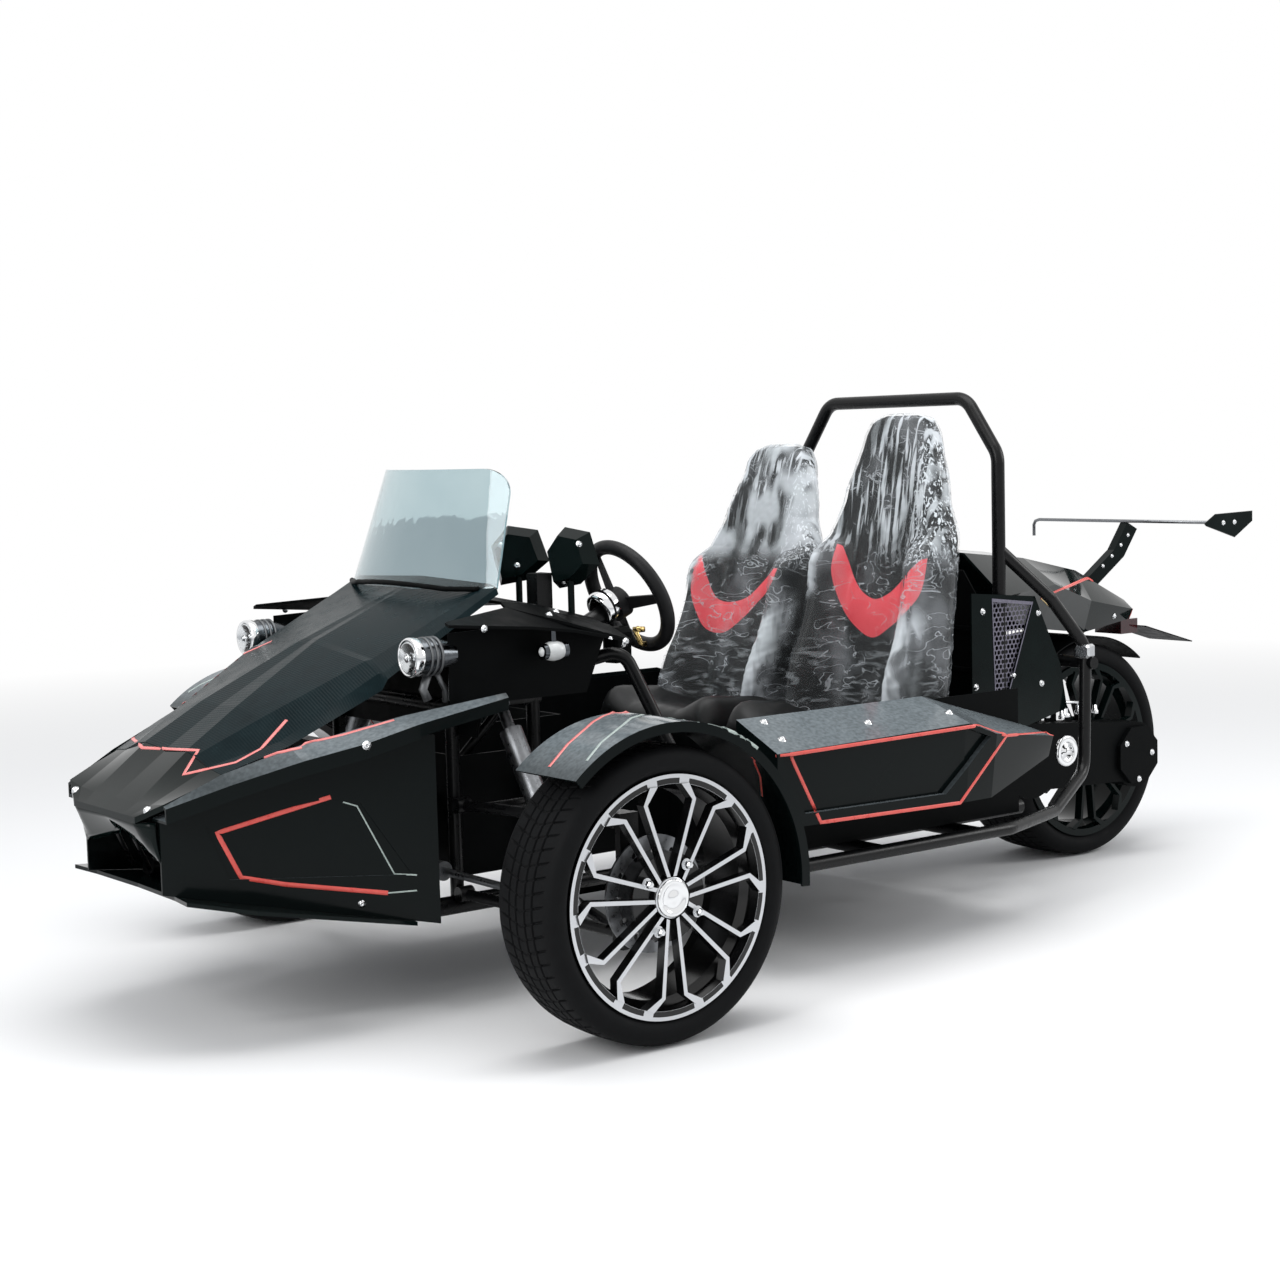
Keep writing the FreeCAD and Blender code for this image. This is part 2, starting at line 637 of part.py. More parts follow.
# Front corners
def knuckle():
    axle = FRONT_CENTRE
    eye_low = LOWER_ARM_HEIGHT - BALL_THICK / 2 - SEAT_GAP
    eye_high = UPPER_ARM_HEIGHT + BALL_THICK / 2 + SEAT_GAP
    bar_inner = KINGPIN_Y + UPRIGHT_STANDOFF
    bar_outer = bar_inner + UPRIGHT_THICK
    half = UPRIGHT_WIDTH / 2
    bar = box(axle.x - half, axle.x + half, bar_inner, bar_outer, eye_low - BALL_THICK,
              eye_high + BALL_THICK)
    shapes = [bar]
    for bottom in (eye_low - BALL_THICK, eye_high):
        eye = Part.makeCylinder(BALL_R, BALL_THICK, vec(axle.x, KINGPIN_Y, bottom))
        web = box(axle.x - BALL_R, axle.x + BALL_R, KINGPIN_Y, bar_inner + CUT, bottom, bottom + BALL_THICK)
        shapes += [eye, web]
    mount = FRONT_WHEEL_Y + FRONT_TYRE_WIDTH / 2 - HUB_MOUNT_DEPTH
    spindle_end = mount + SPINDLE_REACH
    spindle = rod(vec(axle.x, bar_inner, axle.z), vec(axle.x, spindle_end, axle.z),
                  AXLE_BORE_R - RUNNING_GAP)
    carrier_end = mount - DISC_THICK - RUNNING_GAP
    carrier = rod(vec(axle.x, bar_inner, axle.z), vec(axle.x, carrier_end, axle.z), DISC_BORE_R - CUT)
    arm_z = STEER_ARM_HEIGHT - STEER_ARM_THICK / 2
    half_arm = STEER_ARM_WIDTH / 2
    arm = box(axle.x, axle.x + STEER_ARM_LENGTH, KINGPIN_Y - half_arm, KINGPIN_Y + half_arm, arm_z,
              arm_z + STEER_ARM_THICK)
    arm_eye = Part.makeCylinder(half_arm + CUT / 2, STEER_ARM_THICK,
                                vec(axle.x + STEER_ARM_LENGTH, KINGPIN_Y, arm_z))
    arm_root = box(axle.x - half, axle.x + half, KINGPIN_Y - half_arm, bar_inner + CUT, arm_z,
                   arm_z + STEER_ARM_THICK)
    caliper_x = axle.x - DISC_R
    caliper_y = mount - DISC_THICK - CALIPER_DISC_GAP
    caliper = box(caliper_x, caliper_x + CALIPER_DEPTH, caliper_y - CALIPER_WIDTH, caliper_y,
                  axle.z - CALIPER_LENGTH / 2, axle.z + CALIPER_LENGTH / 2)
    caliper_arm = box(caliper_x, axle.x, bar_inner, bar_outer, axle.z - half, axle.z + half)
    caliper_web = box(caliper_x, caliper_x + CALIPER_DEPTH, bar_inner, caliper_y, axle.z - half,
                      axle.z + half)
    stay_y = FRONT_WHEEL_Y - FRONT_TYRE_WIDTH / 2 - FENDER_STAY_GAP
    stay_top = axle.z + FENDER_R - SEAT_GAP
    stay_half = FENDER_STAY_WIDTH / 2
    stay = box(axle.x - stay_half, axle.x + stay_half, stay_y - FENDER_STAY_THICK, stay_y, eye_high,
               stay_top)
    foot = box(axle.x - stay_half, axle.x + stay_half, stay_y - FENDER_STAY_THICK, KINGPIN_Y, eye_high,
               eye_high + BALL_THICK)
    shelf = box(axle.x - stay_half, axle.x + stay_half, stay_y - FENDER_STAY_THICK, FRONT_WHEEL_Y,
                stay_top - FENDER_STAY_THICK, stay_top)
    shapes += [spindle, carrier, arm, arm_eye, arm_root, caliper, caliper_arm, caliper_web, stay, foot,
               shelf]
    return fused(shapes).cut(arc_band(axle, FENDER_R - SEAT_GAP, FENDER_R + FENDER_LIP * 2,
                                      -FRONT_TRACK_OUTER, FRONT_TRACK_OUTER, 0, HALF_TURN_DEG))


def arc_band(centre, inner_r, outer_r, y0, y1, from_deg, to_deg):
    # Part of a ring about the axle line, between two angles counted up from straight ahead.
    face = Part.Face(polygon([
        vec(centre.x + inner_r, y0, centre.z),
        vec(centre.x + outer_r, y0, centre.z),
        vec(centre.x + outer_r, y1, centre.z),
        vec(centre.x + inner_r, y1, centre.z),
    ]))
    axis_point = vec(centre.x, 0, centre.z)
    band = face.revolve(axis_point, Y_AXIS * -1, to_deg - from_deg)
    band.rotate(axis_point, Y_AXIS * -1, from_deg)
    return band


def fender():
    # Cycle fender: a curved sheet with a turned down lip along its outer edge.
    inner = FRONT_WHEEL_Y - FRONT_TYRE_WIDTH / 2 - FENDER_INNER_MARGIN
    outer = FRONT_WHEEL_Y + FRONT_TYRE_WIDTH / 2 + FENDER_OUTER_MARGIN
    top = arc_band(FRONT_CENTRE, FENDER_R, FENDER_R + FENDER_THICK, inner, outer, FENDER_FRONT_DEG,
                   FENDER_REAR_DEG)
    lip = arc_band(FRONT_CENTRE, FENDER_R - FENDER_LIP, FENDER_R + FENDER_THICK, outer - FENDER_THICK, outer,
                   FENDER_FRONT_DEG, FENDER_REAR_DEG)
    return fused([top, lip])


def a_arm(height, pivot_height):
    pivot_half = FRONT_BAY_HALF_LENGTH
    pivot_y = FRONT_BAY_HALF_WIDTH + FRAME_TUBE_R + BALL_R - PIVOT_BITE
    ball = from_axle(0, KINGPIN_Y, height)
    eye = Part.makeCylinder(BALL_R, BALL_THICK, ball - Z_AXIS * (BALL_THICK / 2))
    shapes = [eye]
    for side in (1, -1):
        pivot = from_axle(side * pivot_half, pivot_y, pivot_height)
        shapes.append(rod(ball, pivot, ARM_TUBE_R))
        shapes.append(rod(pivot - X_AXIS * BALL_R, pivot + X_AXIS * BALL_R, BALL_R))
    near = ball + (from_axle(pivot_half, pivot_y, pivot_height) - ball) * ARM_BRACE_SHARE
    far = ball + (from_axle(-pivot_half, pivot_y, pivot_height) - ball) * ARM_BRACE_SHARE
    shapes.append(rod(near, far, ARM_TUBE_R))
    above = Part.makeCylinder(BALL_R * 2, BALL_THICK, ball + Z_AXIS * (BALL_THICK / 2))
    below = above.translated(Z_AXIS * (-BALL_THICK * 2))
    return fused(shapes).cut(above).cut(below)


def front_shock():
    low = from_axle(0, KINGPIN_Y - SHOCK_LOWER_OFFSET, LOWER_ARM_HEIGHT + ARM_TUBE_R + SHOCK_EYE_R)
    high = from_axle(0, FRONT_BAY_HALF_WIDTH + FRAME_TUBE_R + SHOCK_EYE_R, FRONT_BAY_TOP)
    return shock(low, high)


def shock(low, high):
    along = high - low
    shapes = [
        rod(low - X_AXIS * SHOCK_EYE_R, low + X_AXIS * SHOCK_EYE_R, SHOCK_EYE_R),
        rod(high - X_AXIS * SHOCK_EYE_R, high + X_AXIS * SHOCK_EYE_R, SHOCK_EYE_R),
        rod(low, low + along * SHOCK_SPLIT_SHARE, SHOCK_ROD_R),
        rod(low + along * SHOCK_SPLIT_SHARE, high, SHOCK_BODY_R / 2),
        rod(low + along * SHOCK_SPRING_SHARES[0], low + along * SHOCK_SPRING_SHARES[1], SHOCK_BODY_R),
    ]
    return fused(shapes)


# Frame
def rail():
    # Straight along the car, then up and inward until it rests on the splitter's top face.
    y = FRONT_BAY_HALF_WIDTH
    slope = (SPLITTER_FRONT_HEIGHT - SPLITTER_REAR_HEIGHT) / (FRONT_OVERHANG - SPLITTER_REAR_X)
    seat = SEAT_GAP + RAIL_R / math.cos(math.atan(slope))
    rest_share = (NOSE_RAIL_REST_X - NOSE_RAIL_RISE_X) / (NOSE_RAIL_REACH - NOSE_RAIL_RISE_X)
    return bent_tube(
        [
            from_axle(NOSE_RAIL_REACH, NOSE_RAIL_HALF_WIDTH, splitter_top(NOSE_RAIL_REACH) + seat),
            from_axle(NOSE_RAIL_REST_X, y + (NOSE_RAIL_HALF_WIDTH - y) * rest_share,
                      splitter_top(NOSE_RAIL_REST_X) + seat),
            from_axle(NOSE_RAIL_RISE_X, y, FRONT_BAY_BOTTOM),
            from_axle(RAIL_REAR_X, y, FRONT_BAY_BOTTOM),
        ],
        RAIL_R,
        RAIL_BEND_R,
    )


def front_frame(carriers):
    # Side ladder that carries the control arms, with the post that runs back to the sill.
    y = FRONT_BAY_HALF_WIDTH
    reach = FRONT_BAY_HALF_LENGTH
    shapes = []
    for x in (reach, -reach):
        shapes.append(rod(from_axle(x, y, FRONT_BAY_BOTTOM), from_axle(x, y, FRONT_BAY_TOP), FRAME_TUBE_R))
    shapes.append(rod(from_axle(-reach - FRAME_TUBE_R, y, FRONT_BAY_TOP),
                      from_axle(reach + FRAME_TUBE_R, y, FRONT_BAY_TOP), FRAME_TUBE_R))
    post = bent_tube(
        [
            from_axle(reach, y, FRONT_BAY_TOP),
            from_axle(*POST_KNEE),
            from_axle(*POST_TOP),
            from_axle(*POST_FOOT),
            from_axle(SILL_FRONT_X, SILL_Y, SILL_HEIGHT),
        ],
        FRAME_TUBE_R,
        POST_BEND_R,
    )
    return coped(fused(shapes + [post]), carriers)


def front_cross(ladders):
    y = FRONT_BAY_HALF_WIDTH
    shapes = []
    for x in (FRONT_BAY_HALF_LENGTH, -FRONT_BAY_HALF_LENGTH):
        tube = rod(from_axle(x, -y, FRONT_BAY_TOP), from_axle(x, y, FRONT_BAY_TOP), FRAME_TUBE_R)
        shapes += coped(tube, ladders).Solids
    return Part.makeCompound(shapes)


def side_tube():
    brace_y = PANEL_Y + PANEL + SEAT_GAP + SIDE_TUBE_R
    return bent_tube(
        [
            from_axle(SILL_FRONT_X, SILL_Y, SILL_HEIGHT),
            from_axle(SILL_REAR_X, SILL_Y, SILL_HEIGHT),
            from_axle(KICK_BASE_X, KICK_BASE_Y, SILL_HEIGHT),
            from_axle(KICK_UP_X, KICK_UP_Y, KICK_UP_HEIGHT),
            from_axle(BRACE_REAR_X, brace_y, HOOP_JOINT_HEIGHT * BRACE_REAR_SHARE),
            from_axle(BRACE_TOP_X, brace_y, HOOP_JOINT_HEIGHT * BRACE_TOP_SHARE),
            from_axle(HOOP_X, HOOP_HALF_WIDTH, HOOP_JOINT_HEIGHT),
        ],
        SIDE_TUBE_R,
        SIDE_TUBE_BEND_R,
    )


def roll_hoop():
    y = HOOP_HALF_WIDTH
    top = HOOP_TOP_HALF_WIDTH
    return bent_tube(
        [
            from_axle(HOOP_X, -y, SILL_HEIGHT),
            from_axle(HOOP_X, -y, HOOP_SHOULDER_HEIGHT),
            from_axle(HOOP_X, -top, HOOP_HEIGHT),
            from_axle(HOOP_X, top, HOOP_HEIGHT),
            from_axle(HOOP_X, y, HOOP_SHOULDER_HEIGHT),
            from_axle(HOOP_X, y, SILL_HEIGHT),
        ],
        HOOP_TUBE_R,
        HOOP_BEND_R,
    )


def cross_tubes(side_tubes):
    shapes = []
    for x in CROSS_TUBE_PLACES:
        tube = rod(from_axle(x, -SILL_Y, SILL_HEIGHT), from_axle(x, SILL_Y, SILL_HEIGHT), CROSS_TUBE_R)
        shapes += coped(tube, side_tubes).Solids
    foot = HOOP_HALF_WIDTH + HOOP_TUBE_R * 2
    shapes.append(rod(from_axle(HOOP_X, -foot, SILL_HEIGHT), from_axle(HOOP_X, foot, SILL_HEIGHT),
                      CROSS_TUBE_R))
    return Part.makeCompound(shapes)


def rear_cross_tube(side_tubes):
    start = from_axle(REAR_CROSS_X, -KICK_UP_Y, REAR_CROSS_HEIGHT)
    return coped(rod(start, start + Y_AXIS * (KICK_UP_Y * 2), CROSS_TUBE_R), side_tubes)


def floor_pan():
    # Tub with side walls beside the seats and a narrow footwell between the front ladders.
    z = FLOOR_Z
    front = FRONT_AXLE_X + CAB_FRONT_X
    rear = FRONT_AXLE_X + CAB_REAR_X
    toe = FRONT_AXLE_X + FOOT_FRONT_X
    shapes = [
        box(rear, front, -CAB_HALF_WIDTH, CAB_HALF_WIDTH, z, z + TUB_SHEET),
        box(front - CUT, toe, -FOOT_HALF_WIDTH, FOOT_HALF_WIDTH, z, z + TUB_SHEET),
        box(toe, toe + TUB_SHEET, -FOOT_HALF_WIDTH, FOOT_HALF_WIDTH, z, z + FOOT_WALL_HEIGHT),
    ]
    for side in (1, -1):
        walls = [
            box(rear, front, CAB_HALF_WIDTH - TUB_SHEET, CAB_HALF_WIDTH, z, z + TUB_WALL_HEIGHT),
            box(front - TUB_SHEET, toe + TUB_SHEET, FOOT_HALF_WIDTH - TUB_SHEET, FOOT_HALF_WIDTH, z,
                z + FOOT_WALL_HEIGHT),
            box(front - TUB_SHEET, front, FOOT_HALF_WIDTH - TUB_SHEET, CAB_HALF_WIDTH, z,
                z + FOOT_WALL_HEIGHT),
        ]
        for wall in walls:
            shapes.append(wall if side > 0 else mirrored(wall))
    shaft_start, shaft_end = lower_shaft_ends()
    hole = rod(shaft_start, shaft_end, JOINT_R)
    return fused(shapes + pedals()).cut(hole)


# Steering gear
def column_direction():
    tilt = math.radians(STEERING_TILT_DEG)
    return vec(math.cos(tilt), 0, -math.sin(tilt))


def steering_centre():
    return from_axle(STEERING_X, DRIVER_Y, STEERING_HEIGHT)


def lower_shaft_ends():
    joint = steering_centre() + column_direction() * (COLUMN_LENGTH + STEERING_DISH + STEERING_HUB_DEPTH)
    pinion = vec(RACK_X, PINION_Y, RACK_HEIGHT + RACK_HOUSING_R)
    return joint, pinion


def steering_column():
    start = steering_centre() + column_direction() * (STEERING_DISH + STEERING_HUB_DEPTH + RUNNING_GAP)
    joint, pinion = lower_shaft_ends()
    tube = rod(start, joint, COLUMN_R)
    ball = Part.makeSphere(JOINT_R, joint)
    shaft = rod(joint, pinion, COLUMN_SHAFT_R)
    reach = COLUMN_R
    top = joint.z + COLUMN_HANGER
    hanger = box(joint.x - reach, joint.x + reach, joint.y - reach, joint.y + reach, joint.z, top)
    along = column_direction()
    bore = rod(start - along * CUT, start + along * COLUMN_LENGTH / 2, COLUMN_SHAFT_R + RUNNING_GAP)
    return fused([tube, ball, shaft, hanger]).cut(bore)


def steering_wheel():
    # Dished wheel: a round grip, flat spokes, a hub and the shaft that runs into the column.
    centre = steering_centre()
    along = column_direction()
    grip = Part.makeTorus(STEERING_RIM_R, STEERING_GRIP_R)
    shapes = [grip]
    for index in range(STEERING_SPOKES):
        angle = math.radians(STEERING_SPOKE_START + 360 * index / STEERING_SPOKES)
        across = vec(math.cos(angle), math.sin(angle), 0)
        inner = Z_AXIS * -STEERING_DISH + across * STEERING_HUB_R / 2
        outer = across * STEERING_RIM_R
        side = Z_AXIS.cross(across) * (STEERING_SPOKE_WIDTH / 2)
        tip = side * STEERING_SPOKE_TIP_SHARE
        flat = prism([inner - side, inner + side, outer + tip, outer - tip], Z_AXIS * STEERING_SPOKE_THICK)
        shapes.append(flat)
    hub = Part.makeCylinder(STEERING_HUB_R, STEERING_HUB_DEPTH,
                            Z_AXIS * (-STEERING_DISH - STEERING_HUB_DEPTH / 2))
    shaft = Part.makeCylinder(COLUMN_SHAFT_R, STEERING_STUB, Z_AXIS * (-STEERING_DISH - STEERING_STUB))
    whole = fused(shapes + [hub, shaft])
    whole.Placement = FreeCAD.Placement(centre, FreeCAD.Rotation(Z_AXIS, along * -1))
    return whole


def rack_housing(ladders):
    middle = vec(RACK_X, 0, RACK_HEIGHT)
    outer = rod(middle - Y_AXIS * RACK_HALF_LENGTH, middle + Y_AXIS * RACK_HALF_LENGTH, RACK_HOUSING_R)
    bore = rod(middle - Y_AXIS * FRONT_TRACK_OUTER, middle + Y_AXIS * FRONT_TRACK_OUTER,
               RACK_R + RUNNING_GAP)
    return coped(outer.cut(bore), ladders)


def rack_bar():
    # Rack bar with a tie rod to each side, whose eyes run under the steering arms.
    shapes = [rod(vec(RACK_X, -KINGPIN_Y, RACK_HEIGHT), vec(RACK_X, KINGPIN_Y, RACK_HEIGHT), TIE_ROD_R)]
    shapes.append(rod(vec(RACK_X, -RACK_HALF_LENGTH, RACK_HEIGHT),
                      vec(RACK_X, RACK_HALF_LENGTH, RACK_HEIGHT), RACK_R))
    for side in (1, -1):
        place = vec(RACK_X, side * KINGPIN_Y, RACK_HEIGHT - TIE_ROD_EYE_THICK / 2)
        shapes.append(Part.makeCylinder(TIE_ROD_EYE_R, TIE_ROD_EYE_THICK, place))
    return fused(shapes)


# Body panels
def hood():
    wires = []
    for along, outline in HOOD_STATION_SHARES:
        half = [(y * HOOD_HALF_WIDTH, z * COWL_HEIGHT) for y, z in outline]
        wires.append(shell_section(FRONT_AXLE_X + along * HOOD_LENGTH, half, PANEL))
    return lofted(wires)


def blade_edge(x):
    # Half width between the two blades at a place ahead of the front axle.
    rows = [(along * FRONT_OVERHANG, inner[0] * NOSE_HALF_WIDTH) for along, inner, _ in BLADE_STATION_SHARES]
    for (front_x, front_y), (rear_x, rear_y) in zip(rows, rows[1:]):
        if x >= rear_x:
            break
    return rear_y + (front_y - rear_y) * (x - rear_x) / (front_x - rear_x)


def nose_panel():
    # Sloping panel between the blades that narrows to a straight front lip.
    start = HOOD_LENGTH + SEAT_GAP
    reach = FRONT_OVERHANG - start
    wires = []
    for along, outline in NOSE_STATION_SHARES:
        half = [(y * NOSE_HALF_WIDTH, z * COWL_HEIGHT) for y, z in outline]
        if along < 1:
            half[-1] = (blade_edge(start + along * reach) - SEAT_GAP, half[-1][1])
        thick = PANEL + along * (NOSE_LIP - PANEL)
        wires.append(sheet_section(FRONT_AXLE_X + start + along * reach, half, thick))
    return lofted(wires)


def splitter_top(x):
    share = (x - SPLITTER_REAR_X) / (FRONT_OVERHANG - SPLITTER_REAR_X)
    return SPLITTER_REAR_HEIGHT + share * (SPLITTER_FRONT_HEIGHT - SPLITTER_REAR_HEIGHT)


def nose_side():
    # Long blade along the nose, with a flange below it and the side panel under that.
    front_x, front_y = CHEEK_FRONT_SHARES[0] * FRONT_OVERHANG, CHEEK_FRONT_SHARES[1] * NOSE_HALF_WIDTH
    rear_x, rear_y = CHEEK_REAR_SHARES[0] * FRONT_OVERHANG, CHEEK_REAR_SHARES[1] * NOSE_HALF_WIDTH

    def panel_y(x):
        return front_y + (rear_y - front_y) * (front_x - x) / (front_x - rear_x)

    blades = []
    soffits = []
    top_line = []
    for along, (y_in, z_in), (y_out, z_out) in BLADE_STATION_SHARES:
        x = along * FRONT_OVERHANG
        y0, z0 = y_in * NOSE_HALF_WIDTH, z_in * COWL_HEIGHT
        y1, z1 = y_out * NOSE_HALF_WIDTH, z_out * COWL_HEIGHT
        low = z1 - BLADE_FLANGE
        section = [(y0, z0), (y1, z1), (y1, low), (y1 - PANEL, low), (y1 - PANEL, z1 - PANEL),
                   (y0, z0 - PANEL)]
        blades.append(polygon([from_axle(x, y, z) for y, z in section]))
        if x > rear_x:
            y = panel_y(x)
            soffit = [(y - CHEEK_THICK, low), (y1, low), (y1, low - PANEL), (y - CHEEK_THICK, low - PANEL)]
            soffits.append(polygon([from_axle(x, *place) for place in soffit]))
            top_line.append((x, low - PANEL / 2))
    outline = [(x, z) for x, z in top_line if x < front_x]
    outline.insert(0, (front_x, outline[0][1] - (front_x - outline[0][0]) * CHEEK_TOP_SLOPE))
    outline += [(rear_x, outline[-1][1]), (rear_x, splitter_top(rear_x) + SEAT_GAP)]
    outline.append((front_x, splitter_top(front_x) + SEAT_GAP))
    points = [from_axle(x, panel_y(x), z) for x, z in outline]
    cheek = prism(points, Y_AXIS * -CHEEK_THICK)
    pocket_points = []
    for along, up in CHEEK_POCKET_SHARES:
        x = front_x - along * (front_x - rear_x)
        pocket_points.append(from_axle(x, panel_y(x) - POCKET_DEPTH, up * COWL_HEIGHT))
    pocket = prism(pocket_points, Y_AXIS * (POCKET_DEPTH + CUT))
    return fused([lofted(blades), lofted(soffits), cheek.cut(pocket)])


def front_splitter():
    half = [(x * FRONT_OVERHANG, y * NOSE_HALF_WIDTH) for x, y in SPLITTER_OUTLINE_SHARES]
    points = [from_axle(x, y, splitter_top(x)) for x, y in half]
    points += [from_axle(x, -y, splitter_top(x)) for x, y in reversed(half) if y > 0]
    return prism(points, Z_AXIS * -SPLITTER_THICK)


def windscreen():
    # Bowed screen between two arcs, trimmed to a tapered outline with round top corners.
    def arc_strip(x, half, bow, z):
        ends = (from_axle(x, -half, z), from_axle(x, half, z))
        outer = Part.Arc(ends[0], from_axle(x + bow, 0, z), ends[1]).toShape()
        shift = X_AXIS * -SCREEN_THICK
        inner = Part.Arc(ends[1] + shift, from_axle(x + bow, 0, z) + shift, ends[0] + shift).toShape()
        left = Part.LineSegment(ends[1], ends[1] + shift).toShape()
        right = Part.LineSegment(ends[0] + shift, ends[0]).toShape()
        return Part.Wire([outer, left, inner, right])

    base_z = COWL_HEIGHT - SCREEN_SINK
    low = arc_strip(SCREEN_BASE_X, SCREEN_BASE_HALF, SCREEN_BOW, base_z)
    high = arc_strip(SCREEN_BASE_X - SCREEN_RAKE, SCREEN_TOP_HALF, SCREEN_BOW, base_z + SCREEN_HEIGHT)
    sheet = Part.makeLoft([low, high], True, True)
    top = base_z + SCREEN_HEIGHT - SCREEN_TRIM
    low_half = SCREEN_BASE_HALF - SCREEN_TRIM
    top_half = SCREEN_TOP_HALF - SCREEN_TRIM
    spread = (low_half - top_half) / SCREEN_HEIGHT
    low_z = base_z - CUT
    outline = [
        from_axle(0, -low_half - spread * CUT, low_z),
        from_axle(0, low_half + spread * CUT, low_z),
        from_axle(0, top_half, top),
        from_axle(0, -top_half, top),
    ]
    trim = prism(outline, X_AXIS * FRONT_OVERHANG)
    upright = []
    for edge in trim.Edges:
        middle = edge.CenterOfMass
        if abs(middle.z - top) < CUT and abs(middle.y) > SCREEN_CORNER_R:
            upright.append(edge)
    trim = trim.makeFillet(SCREEN_CORNER_R, upright)
    trim.translate(X_AXIS * (-FRONT_OVERHANG / 2))
    return sheet.common(trim)


def dash():
    wires = []
    for along, outline in DASH_STATION_SHARES:
        half = [(y * NOSE_HALF_WIDTH, z * COWL_HEIGHT) for y, z in outline]
        wires.append(sheet_section(FRONT_AXLE_X + along * FRONT_OVERHANG, half, DASH_THICK))
    shapes = [lofted(wires)]
    blades = []
    for along, (y_in, z_in), (y_out, z_out) in DASH_WING_SHARES:
        x = along * FRONT_OVERHANG
        y0, z0 = y_in * NOSE_HALF_WIDTH, z_in * COWL_HEIGHT
        y1, z1 = y_out * NOSE_HALF_WIDTH, z_out * COWL_HEIGHT
        section = [(y0, z0), (y1, z1), (y1, z1 - DASH_THICK), (y0, z0 - DASH_THICK)]
        blades.append(polygon([from_axle(x, y, z) for y, z in section]))
    wing = lofted(blades)
    return fused(shapes + [wing, mirrored(wing)])


def side_pod():
    wires = []
    inner = CAB_HALF_WIDTH + SEAT_GAP
    for along, z_in, w_top, z_out, z_low, w_low in POD_STATION_SHARES:
        x = FRONT_AXLE_X + POD_FRONT_X - along * POD_LENGTH
        wires.append(polygon([
            vec(x, inner, z_in * POD_HEIGHT),
            vec(x, inner + w_top * POD_WIDTH, z_out * POD_HEIGHT),
            vec(x, inner + w_low * POD_WIDTH, z_low * POD_HEIGHT),
            vec(x, inner, z_low * POD_HEIGHT),
        ]))
    pod = lofted(wires)
    start = FRONT_AXLE_X + POD_FRONT_X
    middle = inner + POD_WIDTH / 2
    points = [vec(start - along * POD_LENGTH, middle, up * POD_HEIGHT) for along, up in POD_POCKET_SHARES]
    window = prism(points, Y_AXIS * POD_WIDTH)
    return pod.cut(window.cut(pod.translated(Y_AXIS * -POD_POCKET_DEPTH)))


def side_panel():
    # Flat plate behind the seat with an open vent, whose heights follow the hoop brace above it.
    length = PANEL_FRONT_X - PANEL_REAR_X

    def at(share, up_share, y):
        return from_axle(PANEL_FRONT_X - share * length, y, up_share * HOOP_JOINT_HEIGHT)

    plate = prism([at(x, z, PANEL_Y) for x, z in PANEL_OUTLINE_SHARES], Y_AXIS * PANEL)
    vent = prism([at(x, z, PANEL_Y - CUT) for x, z in VENT_OUTLINE_SHARES], Y_AXIS * (PANEL + CUT * 2))
    return plate.cut(vent)


def tail_body():
    wires = []
    for along, outline in TAIL_STATION_SHARES:
        half = [(y * TAIL_HALF_WIDTH, z * COWL_HEIGHT) for y, z in outline]
        x = TAIL_FRONT_X + along * (TAIL_REAR_X - TAIL_FRONT_X)
        wires.append(shell_section(FRONT_AXLE_X + x, half, PANEL))
    return lofted(wires)


def tail_end():
    x = FRONT_AXLE_X + TAIL_REAR_X
    z_low = TAIL_STATION_SHARES[-1][1][-1][1] * COWL_HEIGHT
    return x, z_low


def tail_lamp():
    x, z = tail_end()
    depth, width, height = LAMP_SIZE
    return box(x - depth, x + depth, -width / 2, width / 2, z - height, z - SEAT_GAP)


def plate_bracket():
    x, z = tail_end()
    depth, width, height = LAMP_SIZE
    start = x - depth
    end = REAR_AXLE_X - REAR_OVERHANG
    half = PLATE_BRACKET_WIDTH / 2
    top = z - height / 2
    sheet = prism([vec(start, -half, top), vec(start, half, top), vec(end, half, top - PLATE_BRACKET_DROP),
                   vec(end, -half, top - PLATE_BRACKET_DROP)], Z_AXIS * -PLATE_BRACKET_THICK)
    return sheet


def wing_arm():
    low = []
    high = []
    for x, share in zip(WING_ARM_PLACES, WING_ARM_SHARES):
        z = share * COWL_HEIGHT
        high.append(from_axle(x, -WING_ARM_THICK / 2, z))
        low.append(from_axle(x - WING_ARM_DEPTH, -WING_ARM_THICK / 2, z - WING_ARM_DEPTH / 2))
    return prism(high + list(reversed(low)), Y_AXIS * WING_ARM_THICK)


def wing_blade():
    half = WING_HALF_SPAN
    x = FRONT_AXLE_X + WING_X
    z = COWL_HEIGHT * WING_HEIGHT_SHARE
    chord = WING_CHORD / 2
    shapes = [box(x - chord, x + chord, -half, half, z - WING_THICK / 2, z + WING_THICK / 2)]
    length, height = WING_PLATE_SIZE
    for side in (1, -1):
        points = [vec(x + u * length, side * half, z + v * height) for u, v in WING_PLATE_OUTLINE_SHARES]
        shapes.append(prism(points, Y_AXIS * (side * WING_PLATE_THICK)))
    return fused(shapes)


